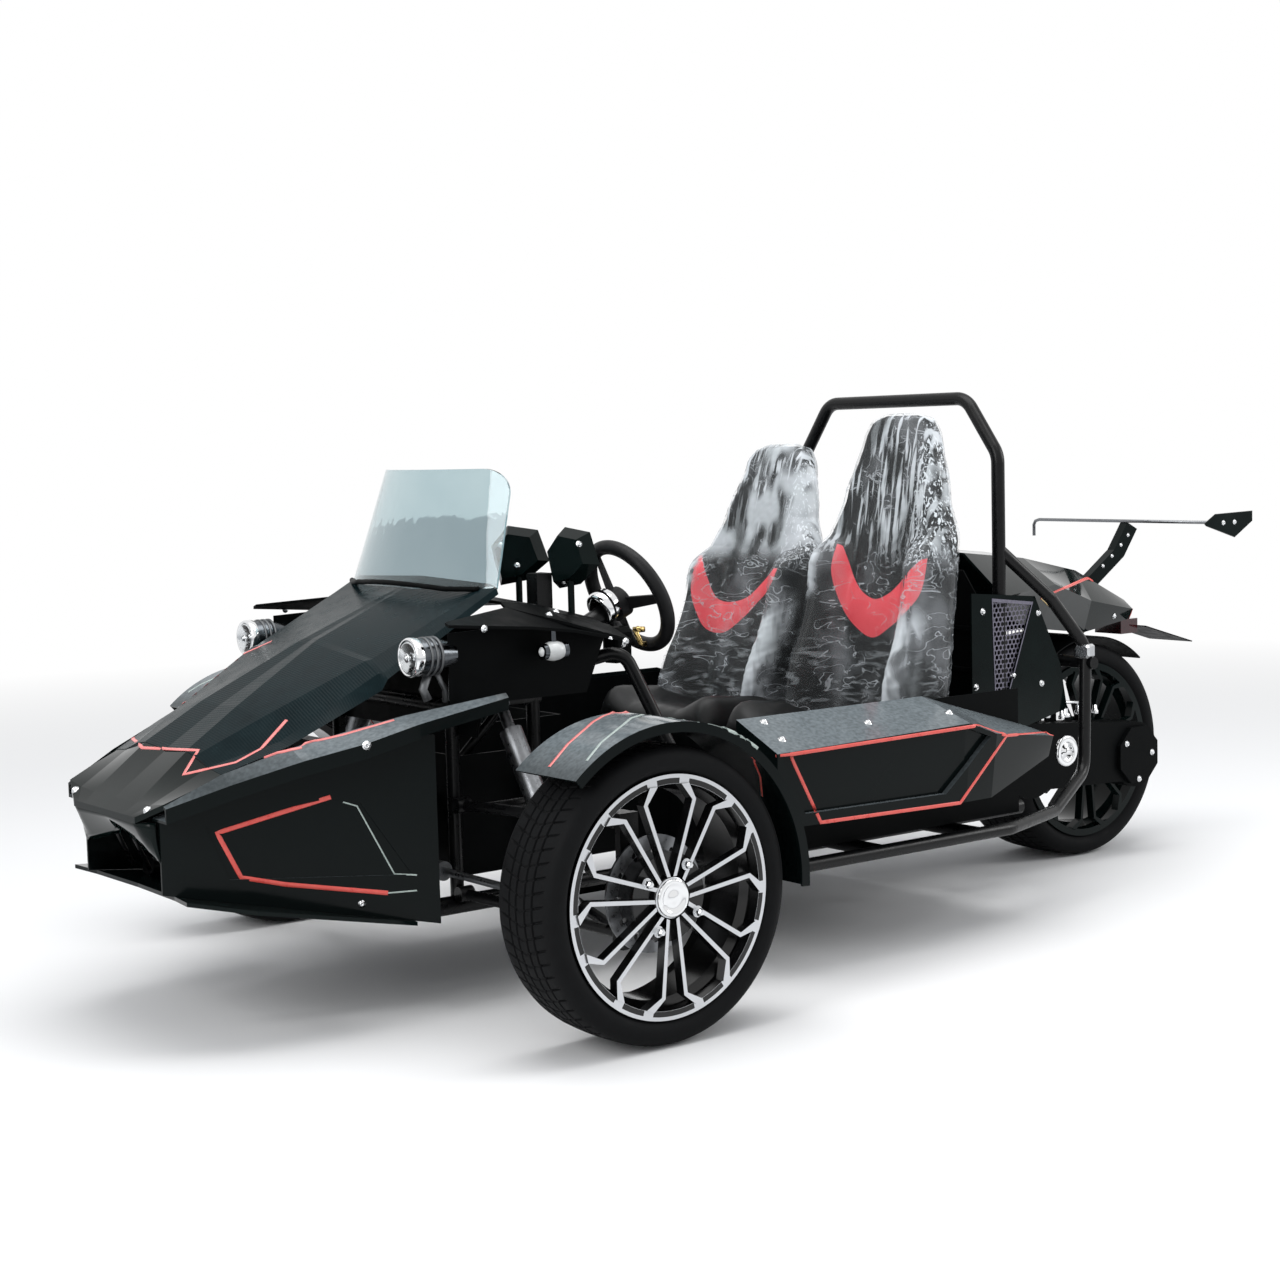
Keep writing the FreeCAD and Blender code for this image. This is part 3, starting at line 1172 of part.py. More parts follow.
def mirrors(dash_shape):
    # Each housing tapers from its glass side to a smaller front cap, on a stem that stands on the dash.
    shapes = []
    for (x, y), turn in zip(MIRROR_PLACES, MIRROR_TURNS_DEG):
        middle = from_axle(x, y, COWL_HEIGHT + MIRROR_RISE)
        wires = []
        for forward, share in ((-MIRROR_DEPTH / 2, 1), (MIRROR_DEPTH / 2, MIRROR_CAP_SHARE)):
            size = MIRROR_SIZE * share
            wires.append(polygon([middle + vec(forward, u * size, v * size)
                                  for u, v in MIRROR_OUTLINE_SHARES]))
        housing = lofted(wires)
        housing.rotate(middle, Z_AXIS, turn)
        stem = rod(middle - Z_AXIS * MIRROR_ROOT, middle, MIRROR_STEM_R)
        shapes += trimmed_above(fused([stem, housing]), dash_shape)
    return Part.makeCompound(shapes)


def trimmed_above(shape, carrier):
    # Cut by its carrier, and only the piece that stands above it is kept.
    solids = sorted(shape.cut(carrier).Solids, key=lambda solid: solid.CenterOfMass.z)
    return solids[-1:]


def front_lamps(dash_shape, ladder):
    place = from_axle(*HEADLAMP_PLACE)
    front = place + X_AXIS * (HEADLAMP_LENGTH / 2)
    mid = place
    back = place - X_AXIS * (HEADLAMP_LENGTH / 2)
    shell = fused([
        rod(mid, front, HEADLAMP_R),
        Part.makeCone(HEADLAMP_TAIL_R, HEADLAMP_R, HEADLAMP_LENGTH / 2, back, X_AXIS),
        rod(back, from_axle(FRONT_BAY_HALF_LENGTH, FRONT_BAY_HALF_WIDTH, FRONT_BAY_TOP),
            HEADLAMP_BRACKET / 2),
    ])
    lamp = coped(shell, [ladder])
    spot = from_axle(INDICATOR_X, INDICATOR_Y, COWL_HEIGHT - INDICATOR_DROP)
    blinker = fused([
        rod(spot - X_AXIS * (INDICATOR_LENGTH / 2), spot + X_AXIS * (INDICATOR_LENGTH / 2), INDICATOR_R),
        rod(spot, spot + Z_AXIS * INDICATOR_DROP, HEADLAMP_BRACKET / 2),
    ])
    low = sorted(blinker.cut(dash_shape).Solids, key=lambda solid: solid.CenterOfMass.z)[:1]
    return Part.makeCompound(lamp.Solids + low)


# Seats
def seat(back_height, slope):
    # Bucket seat: a back with side bolsters that narrows to the head, and a base cushion.
    wires = []
    for up, lean, width, bolster in SEAT_STATION_SHARES:
        z = SEAT_BASE_BOTTOM + up * (back_height - SEAT_BASE_BOTTOM)
        front = FRONT_AXLE_X + SEAT_X + lean * slope
        half = width * SEAT_HALF_WIDTH
        tip = front + bolster * SEAT_BOLSTER
        rear = front - SEAT_THICK
        inner = half * SEAT_PAN_SHARE
        rim = half * SEAT_RIM_SHARE
        side = front - SEAT_THICK / 2
        narrow = half * SEAT_REAR_SHARE
        right = [vec(rear, -narrow, z), vec(side, -half, z), vec(tip, -rim, z), vec(front, -inner, z)]
        left = [vec(front, inner, z), vec(tip, rim, z), vec(side, half, z), vec(rear, narrow, z)]
        wires.append(polygon(right + left))
    back = lofted(wires)
    base_rear = FRONT_AXLE_X + SEAT_X - SEAT_THICK / 2
    base_front = FRONT_AXLE_X + SEAT_BASE_FRONT_X
    half = SEAT_HALF_WIDTH
    low = SEAT_BASE_BOTTOM
    waist = (SEAT_BASE_BOTTOM + SEAT_BASE_TOP) / 2
    base_wires = []
    for along, rise in SEAT_BASE_SHARES:
        x = base_rear + along * (base_front - base_rear)
        rim_z = SEAT_BASE_TOP + rise * SEAT_BASE_BOLSTER
        pan_z = rim_z - SEAT_BASE_BOLSTER / 2
        section = [(half * SEAT_PAN_SHARE, pan_z), (half * SEAT_RIM_SHARE, rim_z), (half, waist),
                   (half * SEAT_REAR_SHARE, low)]
        right = [vec(x, -y, z) for y, z in reversed(section)]
        base_wires.append(polygon(right + [vec(x, y, z) for y, z in section]))
    base = lofted(base_wires)
    whole = fused([back, base])
    whole.translate(Y_AXIS * SEAT_PITCH_HALF)
    return whole


def seat_riser():
    low = FLOOR_Z + TUB_SHEET + SEAT_GAP
    high = SEAT_BASE_BOTTOM - SEAT_GAP
    middle = FRONT_AXLE_X + (SEAT_X + SEAT_BASE_FRONT_X) / 2
    half_x = RISER_LENGTH / 2
    half_y = SEAT_HALF_WIDTH * SEAT_PAN_SHARE
    tube = RISER_TUBE_R * 2
    shapes = []
    for side in (1, -1):
        y = SEAT_PITCH_HALF + side * half_y
        shapes.append(box(middle - half_x, middle + half_x, y - tube / 2, y + tube / 2, high - tube, high))
        for end in (1, -1):
            x = middle + end * (half_x - tube / 2)
            shapes.append(box(x - tube / 2, x + tube / 2, y - tube / 2, y + tube / 2, low, high))
    for end in (1, -1):
        x = middle + end * (half_x - tube / 2)
        shapes.append(box(x - tube / 2, x + tube / 2, SEAT_PITCH_HALF - half_y, SEAT_PITCH_HALF + half_y,
                          high - tube, high))
    return fused(shapes)


# Drive and rear suspension
def engine_block():
    x = FRONT_AXLE_X + ENGINE_FRONT_X
    return box(x - ENGINE_LENGTH, x, -ENGINE_RIGHT, CASE_INNER_Y - SEAT_GAP, FLOOR_Z,
               FLOOR_Z + ENGINE_HEIGHT)


def drive_case():
    # Long flat belt drive case between two round ends, with the output boss toward the wheel.
    front = from_axle(CASE_FRONT_X, CASE_INNER_Y, CASE_FRONT_HEIGHT)
    rear = from_axle(CASE_REAR_X, CASE_INNER_Y, CASE_REAR_HEIGHT)
    ends = [
        Part.makeCylinder(CASE_FRONT_R, CASE_WIDTH, front, Y_AXIS),
        Part.makeCylinder(CASE_REAR_R, CASE_WIDTH, rear, Y_AXIS),
    ]
    corners = []
    for index in range(CASE_COVER_SIDES):
        angle = math.radians(360 * (index + 0.5) / CASE_COVER_SIDES)
        corners.append(rear + Y_AXIS * CASE_WIDTH + vec(math.cos(angle), 0, math.sin(angle)) * CASE_COVER_R)
    cover = prism(corners, Y_AXIS * CASE_COVER_THICK)
    body = prism([front + Z_AXIS * CASE_FRONT_R, rear + Z_AXIS * CASE_REAR_R,
                  rear - Z_AXIS * CASE_REAR_R * CASE_WAIST_SHARE,
                  front - Z_AXIS * CASE_FRONT_R * CASE_WAIST_SHARE], Y_AXIS * CASE_WIDTH)
    wheel_face = REAR_TYRE_WIDTH / 2 - SPOKE_FACE_INSET
    boss = rod(vec(REAR_AXLE_X, wheel_face + RUNNING_GAP, TYRE_R), vec(REAR_AXLE_X, CASE_INNER_Y, TYRE_R),
               CASE_BOSS_R)
    return fused(ends + [body, boss, cover])


def swing_arm(rails):
    # Right side arm with its pivot tube between the rails, and the axle that the wheel turns on.
    pivot = from_axle(RAIL_REAR_X + RAIL_R, -FRONT_BAY_HALF_WIDTH, FRONT_BAY_BOTTOM)
    tube = rod(pivot, vec(pivot.x, FRONT_BAY_HALF_WIDTH, pivot.z), PIVOT_R)
    arm = bent_tube(
        [
            vec(pivot.x, -SWING_ARM_Y, pivot.z),
            vec(pivot.x - SWING_ARM_Y, -SWING_ARM_Y, (pivot.z + TYRE_R) / 2),
            vec(REAR_AXLE_X, -SWING_ARM_Y, TYRE_R),
        ],
        SWING_ARM_R,
        SIDE_TUBE_BEND_R * 2,
    )
    mount = REAR_TYRE_WIDTH / 2 - HUB_MOUNT_DEPTH
    start = vec(REAR_AXLE_X, -SWING_ARM_Y - SWING_ARM_R, TYRE_R)
    axle = rod(start, vec(REAR_AXLE_X, mount + SPINDLE_REACH, TYRE_R), AXLE_BORE_R - RUNNING_GAP)
    return coped(fused([tube, arm, axle]), rails)


def rear_hugger():
    half = CASE_INNER_Y - SEAT_GAP
    band = arc_band(REAR_CENTRE, HUGGER_R, HUGGER_R + HUGGER_THICK, -half, half, HUGGER_FRONT_DEG,
                    HUGGER_REAR_DEG)
    strap_x = FRONT_AXLE_X + HUGGER_STRAP_X
    strap = box(strap_x - HUGGER_STRAP_WIDTH / 2, strap_x + HUGGER_STRAP_WIDTH / 2,
                half - HUGGER_STRAP_THICK, half, CASE_FRONT_HEIGHT, TYRE_R + HUGGER_R)
    strap = strap.common(Part.makeCylinder(HUGGER_R + HUGGER_THICK, half * 2,
                                           vec(REAR_AXLE_X, -half, TYRE_R), Y_AXIS))
    return fused([band, strap])


def rear_shock(arm, cross):
    low = from_axle(SHOCK_FOOT_X, -SWING_ARM_Y, 0)
    slice_box = box(low.x - CUT, low.x + CUT, -FRONT_TRACK_OUTER, 0, 0, HOOP_HEIGHT)
    low.z = arm.common(slice_box).BoundBox.ZMax + SHOCK_EYE_R
    high = from_axle(REAR_CROSS_X, -SWING_ARM_Y, REAR_CROSS_HEIGHT)
    high = high - (high - low).normalize() * (CROSS_TUBE_R + SHOCK_EYE_R)
    return coped(shock(low, high), [arm, cross])


def exhaust(engine):
    front = from_axle(EXHAUST_FRONT_X, -EXHAUST_Y, EXHAUST_HEIGHT)
    can = rod(front, front - X_AXIS * EXHAUST_LENGTH, EXHAUST_R)
    pipe = bent_tube(
        [
            front - X_AXIS * CUT,
            vec(FRONT_AXLE_X + ENGINE_FRONT_X - ENGINE_LENGTH / 2, -EXHAUST_Y, EXHAUST_HEIGHT),
            vec(FRONT_AXLE_X + ENGINE_FRONT_X - ENGINE_LENGTH / 2, -ENGINE_RIGHT, EXHAUST_HEIGHT),
        ],
        EXHAUST_PIPE_R,
        EXHAUST_PIPE_R * 2,
    )
    return coped(fused([can, pipe]), [engine])


def radiator():
    x = FRONT_AXLE_X + RADIATOR_X
    low = FRONT_BAY_BOTTOM + RAIL_R + SEAT_GAP
    return box(x, x + RADIATOR_THICK, -RADIATOR_HALF_WIDTH, RADIATOR_HALF_WIDTH, low, low + RADIATOR_HEIGHT)


def pedals():
    # Two floor pedals, each a pad on a lever that stands on a foot plate.
    depth, width, height = PEDAL_SIZE
    shapes = []
    low = FLOOR_Z + TUB_SHEET
    for y in PEDAL_PLACES:
        x = FRONT_AXLE_X + PEDAL_X
        pad = box(x, x + depth, y - width / 2, y + width / 2, PEDAL_HEIGHT, PEDAL_HEIGHT + height)
        lever = box(x, x + depth, y - depth, y + depth, low, PEDAL_HEIGHT + depth)
        foot = box(x - width / 2, x + width / 2, y - width / 2, y + width / 2, low, low + depth)
        shapes += [pad, lever, foot]
    return shapes


FRONT_CENTRE = vec(FRONT_AXLE_X, FRONT_WHEEL_Y, TYRE_R)
REAR_CENTRE = vec(REAR_AXLE_X, 0, TYRE_R)
os.makedirs("parts", exist_ok=True)
save_pair("tyre_front", tyre(FRONT_CENTRE, FRONT_TYRE_WIDTH))
save_pair("wheel_front", wheel(FRONT_CENTRE, FRONT_TYRE_WIDTH, 1))
save_pair("brake_disc_front", brake_disc(FRONT_CENTRE, FRONT_TYRE_WIDTH, 1))
save("tyre_rear", tyre(REAR_CENTRE, REAR_TYRE_WIDTH))
save("wheel_rear", wheel(REAR_CENTRE, REAR_TYRE_WIDTH, 1))
save_pair("knuckle", knuckle())
save_pair("fender", fender())

rail_left = rail()
side_left = side_tube()
rails = [rail_left, mirrored(rail_left)]
side_tubes = [side_left, mirrored(side_left)]
crossers = cross_tubes(side_tubes)
ladder_left = front_frame([rail_left, side_left, crossers])
ladders = [ladder_left, mirrored(ladder_left)]
hoop = coped(roll_hoop(), [crossers])
save_pair("chassis_rail", rail_left)
save_pair("side_tube", coped(side_left, [hoop]))
save_pair("front_frame", ladder_left)
save("front_cross_tubes", front_cross(ladders))
save("cross_tubes", crossers)
save("roll_hoop", hoop)
rear_cross = rear_cross_tube(side_tubes)
save("rear_cross_tube", rear_cross)
arms_left = Part.makeCompound([
    coped(a_arm(UPPER_ARM_HEIGHT, UPPER_ARM_HEIGHT), [ladder_left]),
    coped(a_arm(LOWER_ARM_HEIGHT, LOWER_ARM_HEIGHT + BALL_R * 2), [ladder_left, rail_left]),
])
save_pair("control_arms", arms_left)
save_pair("front_shock", coped(front_shock(), [ladder_left, arms_left]))
save("floor_pan", floor_pan())
housing = rack_housing(ladders)
save("rack_housing", housing)
save("tie_rods", rack_bar())
save("steering_wheel", steering_wheel())
hood_shape = hood()
save("hood", hood_shape)
save("nose_panel", nose_panel())
save_pair("nose_side", nose_side())
save("front_splitter", front_splitter())
save("windscreen", windscreen().cut(hood_shape))
dash_shape = coped(dash(), [hood_shape, windscreen()])
save("dash", dash_shape)
save("steering_column", coped(steering_column(), [dash_shape, housing]))
save("mirrors", mirrors(dash_shape))
save_pair("front_lamps", front_lamps(dash_shape, ladder_left))
save_pair("side_pod", side_pod())
save_pair("side_panel", side_panel())
tail_shape = coped(tail_body(), [hoop])
save("tail_body", tail_shape)
save("tail_lamp", coped(tail_lamp(), [tail_shape]))
save("plate_bracket", plate_bracket())
blade_shape = wing_blade()
save("wing_blade", blade_shape)
save("wing_arm", coped(wing_arm(), [blade_shape, tail_shape]))
save("seat_left", seat(SEAT_BACK_HEIGHT, SEAT_SLOPE))
save("seat_right", mirrored(seat(PASSENGER_BACK_HEIGHT, PASSENGER_SLOPE)))
riser_left = seat_riser()
save("seat_risers", Part.makeCompound([riser_left, mirrored(riser_left)]))
engine_shape = engine_block()
save("engine_block", engine_shape)
save("drive_case", drive_case())
arm_shape = swing_arm(rails)
save("swing_arm", arm_shape)
save("rear_hugger", rear_hugger())
save("rear_shock", rear_shock(arm_shape, rear_cross))
save("exhaust", exhaust(engine_shape))
save("radiator", radiator())
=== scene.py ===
import math

import bpy
from mathutils import Euler, Matrix, Vector, noise
from mathutils.bvhtree import BVHTree


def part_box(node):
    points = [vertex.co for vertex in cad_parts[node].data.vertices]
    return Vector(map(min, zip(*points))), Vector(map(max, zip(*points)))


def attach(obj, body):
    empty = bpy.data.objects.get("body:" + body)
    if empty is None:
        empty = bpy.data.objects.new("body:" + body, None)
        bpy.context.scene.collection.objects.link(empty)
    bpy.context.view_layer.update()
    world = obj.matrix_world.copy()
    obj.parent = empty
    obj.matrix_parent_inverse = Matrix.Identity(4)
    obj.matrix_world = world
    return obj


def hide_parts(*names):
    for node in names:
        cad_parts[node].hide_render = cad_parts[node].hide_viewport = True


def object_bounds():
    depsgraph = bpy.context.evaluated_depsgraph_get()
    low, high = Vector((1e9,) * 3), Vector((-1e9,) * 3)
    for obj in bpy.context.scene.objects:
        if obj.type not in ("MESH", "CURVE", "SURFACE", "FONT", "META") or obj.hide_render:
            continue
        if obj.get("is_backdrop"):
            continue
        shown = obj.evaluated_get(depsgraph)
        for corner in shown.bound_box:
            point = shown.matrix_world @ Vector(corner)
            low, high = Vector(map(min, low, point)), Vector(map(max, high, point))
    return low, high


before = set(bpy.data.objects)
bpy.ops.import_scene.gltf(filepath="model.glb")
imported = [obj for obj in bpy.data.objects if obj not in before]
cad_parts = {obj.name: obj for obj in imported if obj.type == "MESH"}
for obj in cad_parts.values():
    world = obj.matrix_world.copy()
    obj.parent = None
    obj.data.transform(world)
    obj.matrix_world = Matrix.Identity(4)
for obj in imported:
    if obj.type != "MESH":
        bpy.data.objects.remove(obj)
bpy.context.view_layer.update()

# Sizes in metres, in the car's own frame: +X forward, +Y left, +Z up, ground at zero
MM = 0.001
FORWARD = Vector((1, 0, 0))
LEFT = Vector((0, 1, 0))
UP = Vector((0, 0, 1))
IMAGE_PX = 1280
SENSOR_MM = 36.0
CAMERA_PLACE = (3.2892, 3.9797, 1.1321)
CAMERA_YAW_DEG = -127.12
CAMERA_PITCH_DEG = -5.23
CAMERA_ROLL_DEG = -1.48
CAMERA_FOCAL_PX = 2187.6
WHEELS = {"front_left": "wheel_left_body", "front_right": "wheel_right_body", "rear": "wheel_rear_body"}
SIDES = (("left", 1), ("right", -1))
SEAT_Y = 0.248


def outer_side(place):
    """Which way a wheel's outer face looks: 1 for the left, -1 for the right."""
    return -1 if place == "front_right" else 1


# Colours and node materials
# the middle of a noise's values, which its patches spread over
NOISE_SPREAD = (0.3, 0.7)
# how far up a face has to look before it gets the painted sky sheen, and how much of it the sheen then covers
SKY_SHEEN_FACING = (0.66, 0.90)
SKY_SHEEN_COVER = (0.55, 0.95)


def linear(hex_colour):
    """A written sRGB colour as the linear values that the shaders take."""
    levels = [int(hex_colour[i:i + 2], 16) / 255 for i in (1, 3, 5)]
    return tuple(v / 12.92 if v <= 0.04045 else ((v + 0.055) / 1.055) ** 2.4 for v in levels) + (1.0,)


def connect(tree, node, inputs):
    """Sets a node's inputs; each is a value, or the socket that feeds it."""
    for key, value in inputs.items():
        if isinstance(value, bpy.types.NodeSocket):
            tree.links.new(value, node.inputs[key])
        else:
            node.inputs[key].default_value = value


def add(tree, kind, *inputs, out=0, **settings):
    """Adds one node with its settings and inputs, in order or by name, and gives one of its outputs."""
    made = tree.nodes.new("ShaderNode" + kind)
    for name, value in settings.items():
        setattr(made, name, value)
    for i, value in enumerate(inputs):
        connect(tree, made, value if isinstance(value, dict) else {i: value})
    return made.outputs[out] if made.outputs else made


def noise_field(tree, vector, size, detail, **inputs):
    """A soft noise whose patches have a size in millimetres."""
    return add(tree, "TexNoise", {"Vector": vector, "Scale": 1 / (size * MM), "Detail": detail, **inputs})


def ramp(tree, value, bounds, **settings):
    """A value taken from one range to another: from, to, then the two ends that it gives, else 0 and 1."""
    names = ("From Min", "From Max", "To Min", "To Max")
    return add(tree, "MapRange", {"Value": value, **dict(zip(names, bounds))}, **settings)


def tone(tree, share, dark, light):
    """A colour that goes from one written colour to another with a share."""
    colours = {"Factor": share, "A": linear(dark), "B": linear(light)}
    return add(tree, "Mix", colours, out="Result", data_type="RGBA")


def blank(name, **inputs):
    """A new material with one Principled shader whose plain values are set by their socket names."""
    made = bpy.data.materials.new(name)
    made.use_nodes = True
    shader = made.node_tree.nodes["Principled BSDF"]
    connect(made.node_tree, shader, {key.replace("_", " "): value for key, value in inputs.items()})
    return made, made.node_tree, shader


def material(name, rough, patch, colours=None, bump=None, detail=4.0, **inputs):
    """A material whose roughness, and colour where two are given, drift over patches of one soft noise. A
    bump is a texture's kind, size, depth, strength and own inputs. Sizes are in millimetres."""
    made, tree, shader = blank(name, **inputs)
    place = add(tree, "TexCoord", out="Object")
    haze = noise_field(tree, place, patch, detail)
    connect(tree, shader, {"Roughness": ramp(tree, haze, (*NOISE_SPREAD, *rough))})
    if colours:
        connect(tree, shader, {"Base Color": tone(tree, haze, *colours)})
    if bump:
        kind, size, depth, strength, own = bump
        height = add(tree, kind, {"Vector": place, "Scale": 1 / (size * MM), **own},
                     out="Fac" if kind == "TexWave" else 0)
        normal = add(tree, "Bump", {"Height": height, "Distance": depth * MM, "Strength": strength})
        connect(tree, shader, {"Normal": normal})
    return made


def gel_coat_painted_sky_sheen():
    # The same black gel coat with pale grey painted on its upward faces as the sky's sheen, broken up by fine
    # specks: they read pale grey, the sides stay deep.
    made = material("gel_coat_painted_sky_sheen", (0.08, 0.2), 60, IOR=1.2)
    tree = made.node_tree
    facing = add(tree, "SeparateXYZ", add(tree, "TexCoord", out="Normal"), out="Z")
    lying = ramp(tree, facing, SKY_SHEEN_FACING)
    speck = noise_field(tree, add(tree, "TexCoord", out="Object"), 9, 5.0)
    # painted sky sheen: pale grey where a face looks up, broken into specks
    painted_sheen = add(tree, "Math", lying, ramp(tree, speck, (*NOISE_SPREAD, *SKY_SHEEN_COVER)), operation="MULTIPLY")
    connect(tree, tree.nodes["Principled BSDF"], {"Base Color": tone(tree, painted_sheen, "#090f0f", "#747c80")})
    return made


# Front wheels: a black groove inside the bright lip, crossed by the tips of seven pairs of spokes
RIM_LINE_R = 0.2185
RIM_LINE_HALF = 0.0052
SPOKE_SPACING = math.pi / 7
SPOKE_TIP_TURN = 0.173
SPOKE_TIP_HALF_TURN = 0.052
CUT_DEPTH = 8 * MM


def diamond_cut_alloy(side, band, centre):
    # Cast alloy wheel, painted gloss black and then machined bright on its outer faces alone.
    made, tree, shader = blank("diamond_cut_alloy", IOR=1.45)
    place = add(tree, "TexCoord", out="Object")
    across = add(tree, "SeparateXYZ", place, out="Y")
    facing = add(tree, "SeparateXYZ", add(tree, "TexCoord", out="Normal"), out="Y")
    beyond = "GREATER_THAN" if side > 0 else "LESS_THAN"
    faced = add(tree, "Math", facing, 0.8 * side, operation=beyond)
    outer = add(tree, "Math", across, band, operation=beyond)
    arm = add(tree, "VectorMath", place, centre, operation="SUBTRACT")
    flat = add(tree, "VectorMath", arm, (1, 0, 1), operation="MULTIPLY")
    radius = add(tree, "VectorMath", flat, out="Value", operation="LENGTH")
    groove = add(tree, "Math", radius, RIM_LINE_R, RIM_LINE_HALF, operation="COMPARE")
    ahead, above = (add(tree, "SeparateXYZ", arm, out=axis) for axis in "XZ")
    # the turn about the axle, folded onto one spoke of a pair: the groove is painted where it is off the tip
    painted = ahead
    for operation, *values in (("ARCTAN2", above), ("WRAP", SPOKE_SPACING, -SPOKE_SPACING), ("ABSOLUTE",),
                               ("SUBTRACT", SPOKE_TIP_TURN), ("ABSOLUTE",),
                               ("GREATER_THAN", SPOKE_TIP_HALF_TURN), ("MULTIPLY", groove)):
        painted = add(tree, "Math", painted, *values, operation=operation)
    bare = add(tree, "Math", 1.0, painted, operation="SUBTRACT")
    cut = add(tree, "Math", faced, outer, operation="MULTIPLY")
    cut = add(tree, "Math", cut, bare, operation="MULTIPLY")
    connect(tree, shader, {"Metallic": cut, "Base Color": tone(tree, cut, "#0b0b0c", "#c9cbce"),
                           "Roughness": ramp(tree, cut, (0, 1, 0.18, 0.3))})
    return made


# Film's painted highlights: each layer has its noise's stretch, size in millimetres, detail, distortion and
# whether it is folded about its middle, the noise values and the painted whiteness that it fades between, and
# the masks that bound it
FILM_HIGHLIGHT_LAYERS = (
    # painted highlights in long creases down the head
    ((0.35, 1, 0.10), 12, 1.5, 0.35, False, (0.47, 0.62, 0.0, 0.8),
     (("patch", 0.36, 0.56, 0.3, 1.0), ("height", 0.80, 0.92))),
    # painted glints of crumpled film on the outer side
    ((1, 1, 0.55), 10, 2.0, 1.6, False, (0.53, 0.62, 0.0, 0.95),
     (("across", 0.075, 0.11), ("height", 0.78, 0.88))),
    # painted highlights along thin curved wrinkles across the chest
    ((0.4, 0.55, 1), 42, 2.0, 1.1, True, (0.0, 0.022, 0.5, 0.0), (("patch", 0.40, 0.55),)),
    # painted soft sheen on level folds below
    ((0.3, 0.2, 1), 15, 2.0, 0.5, False, (0.5, 0.68, 0.0, 0.28), (("height", 0.70, 0.60),)),
    # painted milky highlight along the outer bolster
    ((1, 1, 0.35), 55, 2.0, 0.6, False, (0.36, 0.56, 0.2, 0.85),
     (("across", 0.140, 0.160), ("across", 0.200, 0.182), ("height", 0.78, 0.68))),
    # painted milky highlight on the crown of the inner bolster
    ((1, 1, 0.8), 40, 2.0, 0.6, False, (0.35, 0.55, 0.25, 0.8),
     (("across", -0.135, -0.158), ("height", 0.735, 0.79), ("height", 0.875, 0.85))),
    # painted pale highlight over the far seat's head
    ((1, 1, 0.5), 75, 1.0, 0.4, False, (0.40, 0.58, 0.0, 0.7),
     (("y", 0.0, -0.05), ("height", 0.80, 0.88))),
)


def polythene_film():
    # Clear polythene dust cover: nearly unseen where it lies flat, with white painted highlights where it
    # creases and crumples.
    made, tree, shader = blank("clear_polythene_painted_highlights", Roughness=0.16, IOR=1.3)
    place = add(tree, "TexCoord", out="Object")
    y, height = (add(tree, "SeparateXYZ", place, out=axis) for axis in "YZ")
    side = add(tree, "Math", y, operation="SIGN")
    seat_middle = add(tree, "Math", side, SEAT_Y, operation="MULTIPLY")
    across = add(tree, "Math", y, seat_middle, operation="SUBTRACT")
    wide = add(tree, "Mapping", {"Vector": place, "Scale": (1, 1, 0.7)})
    patch = noise_field(tree, wide, 95, 2.0)
    sources = {"y": y, "height": height, "across": across, "patch": patch}
    # a faint milky haze in large patches; each layer adds its painted highlight over it
    haze_and_highlights = ramp(tree, patch, (0.45, 0.75, 0.03, 0.2), interpolation_type="SMOOTHSTEP")
    for stretch, size, detail, distortion, folded, fade, masks in FILM_HIGHLIGHT_LAYERS:
        vector = add(tree, "Mapping", {"Vector": place, "Scale": stretch})
        value = noise_field(tree, vector, size, detail, Distortion=distortion)
        if folded:
            value = add(tree, "Math", value, 0.5, operation="SUBTRACT")
            value = add(tree, "Math", value, operation="ABSOLUTE")
        painted_highlight = 1.0
        for source, *bounds in (("own", *fade), *masks):
            masked = value if source == "own" else sources[source]
            mask = ramp(tree, masked, bounds, interpolation_type="SMOOTHSTEP")
            painted_highlight = add(tree, "Math", painted_highlight, mask, operation="MULTIPLY")
        haze_and_highlights = add(tree, "Math", haze_and_highlights, painted_highlight, operation="MAXIMUM")
    connect(tree, shader, {"Alpha": haze_and_highlights, "Base Color": tone(tree, patch, "#bac5c6", "#eceff6")})
    return made


# Black gel coat on moulded glass fibre: deep gloss with the slow waviness of a hand laid panel.
GEL = material("black_gel_coat", (0.05, 0.12), 60, ("#070d0d", "#0c1615"),
               ("TexNoise", 70, 0.8, 0.25, {"Detail": 1.0}), IOR=1.2)
# black gel coat with the sky's sheen painted pale grey on its upward faces
SKY_SHEEN_GEL = gel_coat_painted_sky_sheen()
# Blue black wrap film on the hood: fine lines across the car, drawn at 5 mm so that they show.
FILM = material("hood_wrap_film", (0.2, 0.3), 40, ("#0c1619", "#152326"),
                ("TexWave", math.pi * 5, 0.4, 0.45, {"Distortion": 0.4, "Detail": 1.0}), IOR=1.12)
# Satin black powder coat on welded steel tube: slight orange peel.
POWDER = material("black_powder_coat", (0.24, 0.36), 20, ("#070708", "#0e0f10"),
                  ("TexNoise", 2.5, 0.12, 0.5, {"Detail": 2.0}), IOR=1.3)
# Black ABS mouldings: matt with a fine leather grain that breaks up the highlights.
ABS = material("black_abs", (0.4, 0.55), 30, ("#050606", "#0a0c0d"),
               ("TexVoronoi", 1.6, 0.15, 0.6, {}), IOR=1.12)
# Moulded tyre rubber: matt black, a little grey with dust where it is rough.
RUBBER = material("tyre_rubber", (0.55, 0.75), 25, ("#0d0d0e", "#191a1b"),
                  ("TexNoise", 1.2, 0.15, 0.6, {"Detail": 3.0}), IOR=1.15)
# Bare turned steel of brake discs and rods: grey and half bright, clouded by handling.
STEEL = material("turned_steel", (0.25, 0.42), 8, ("#6d6f72", "#8d8f92"), Metallic=1.0)
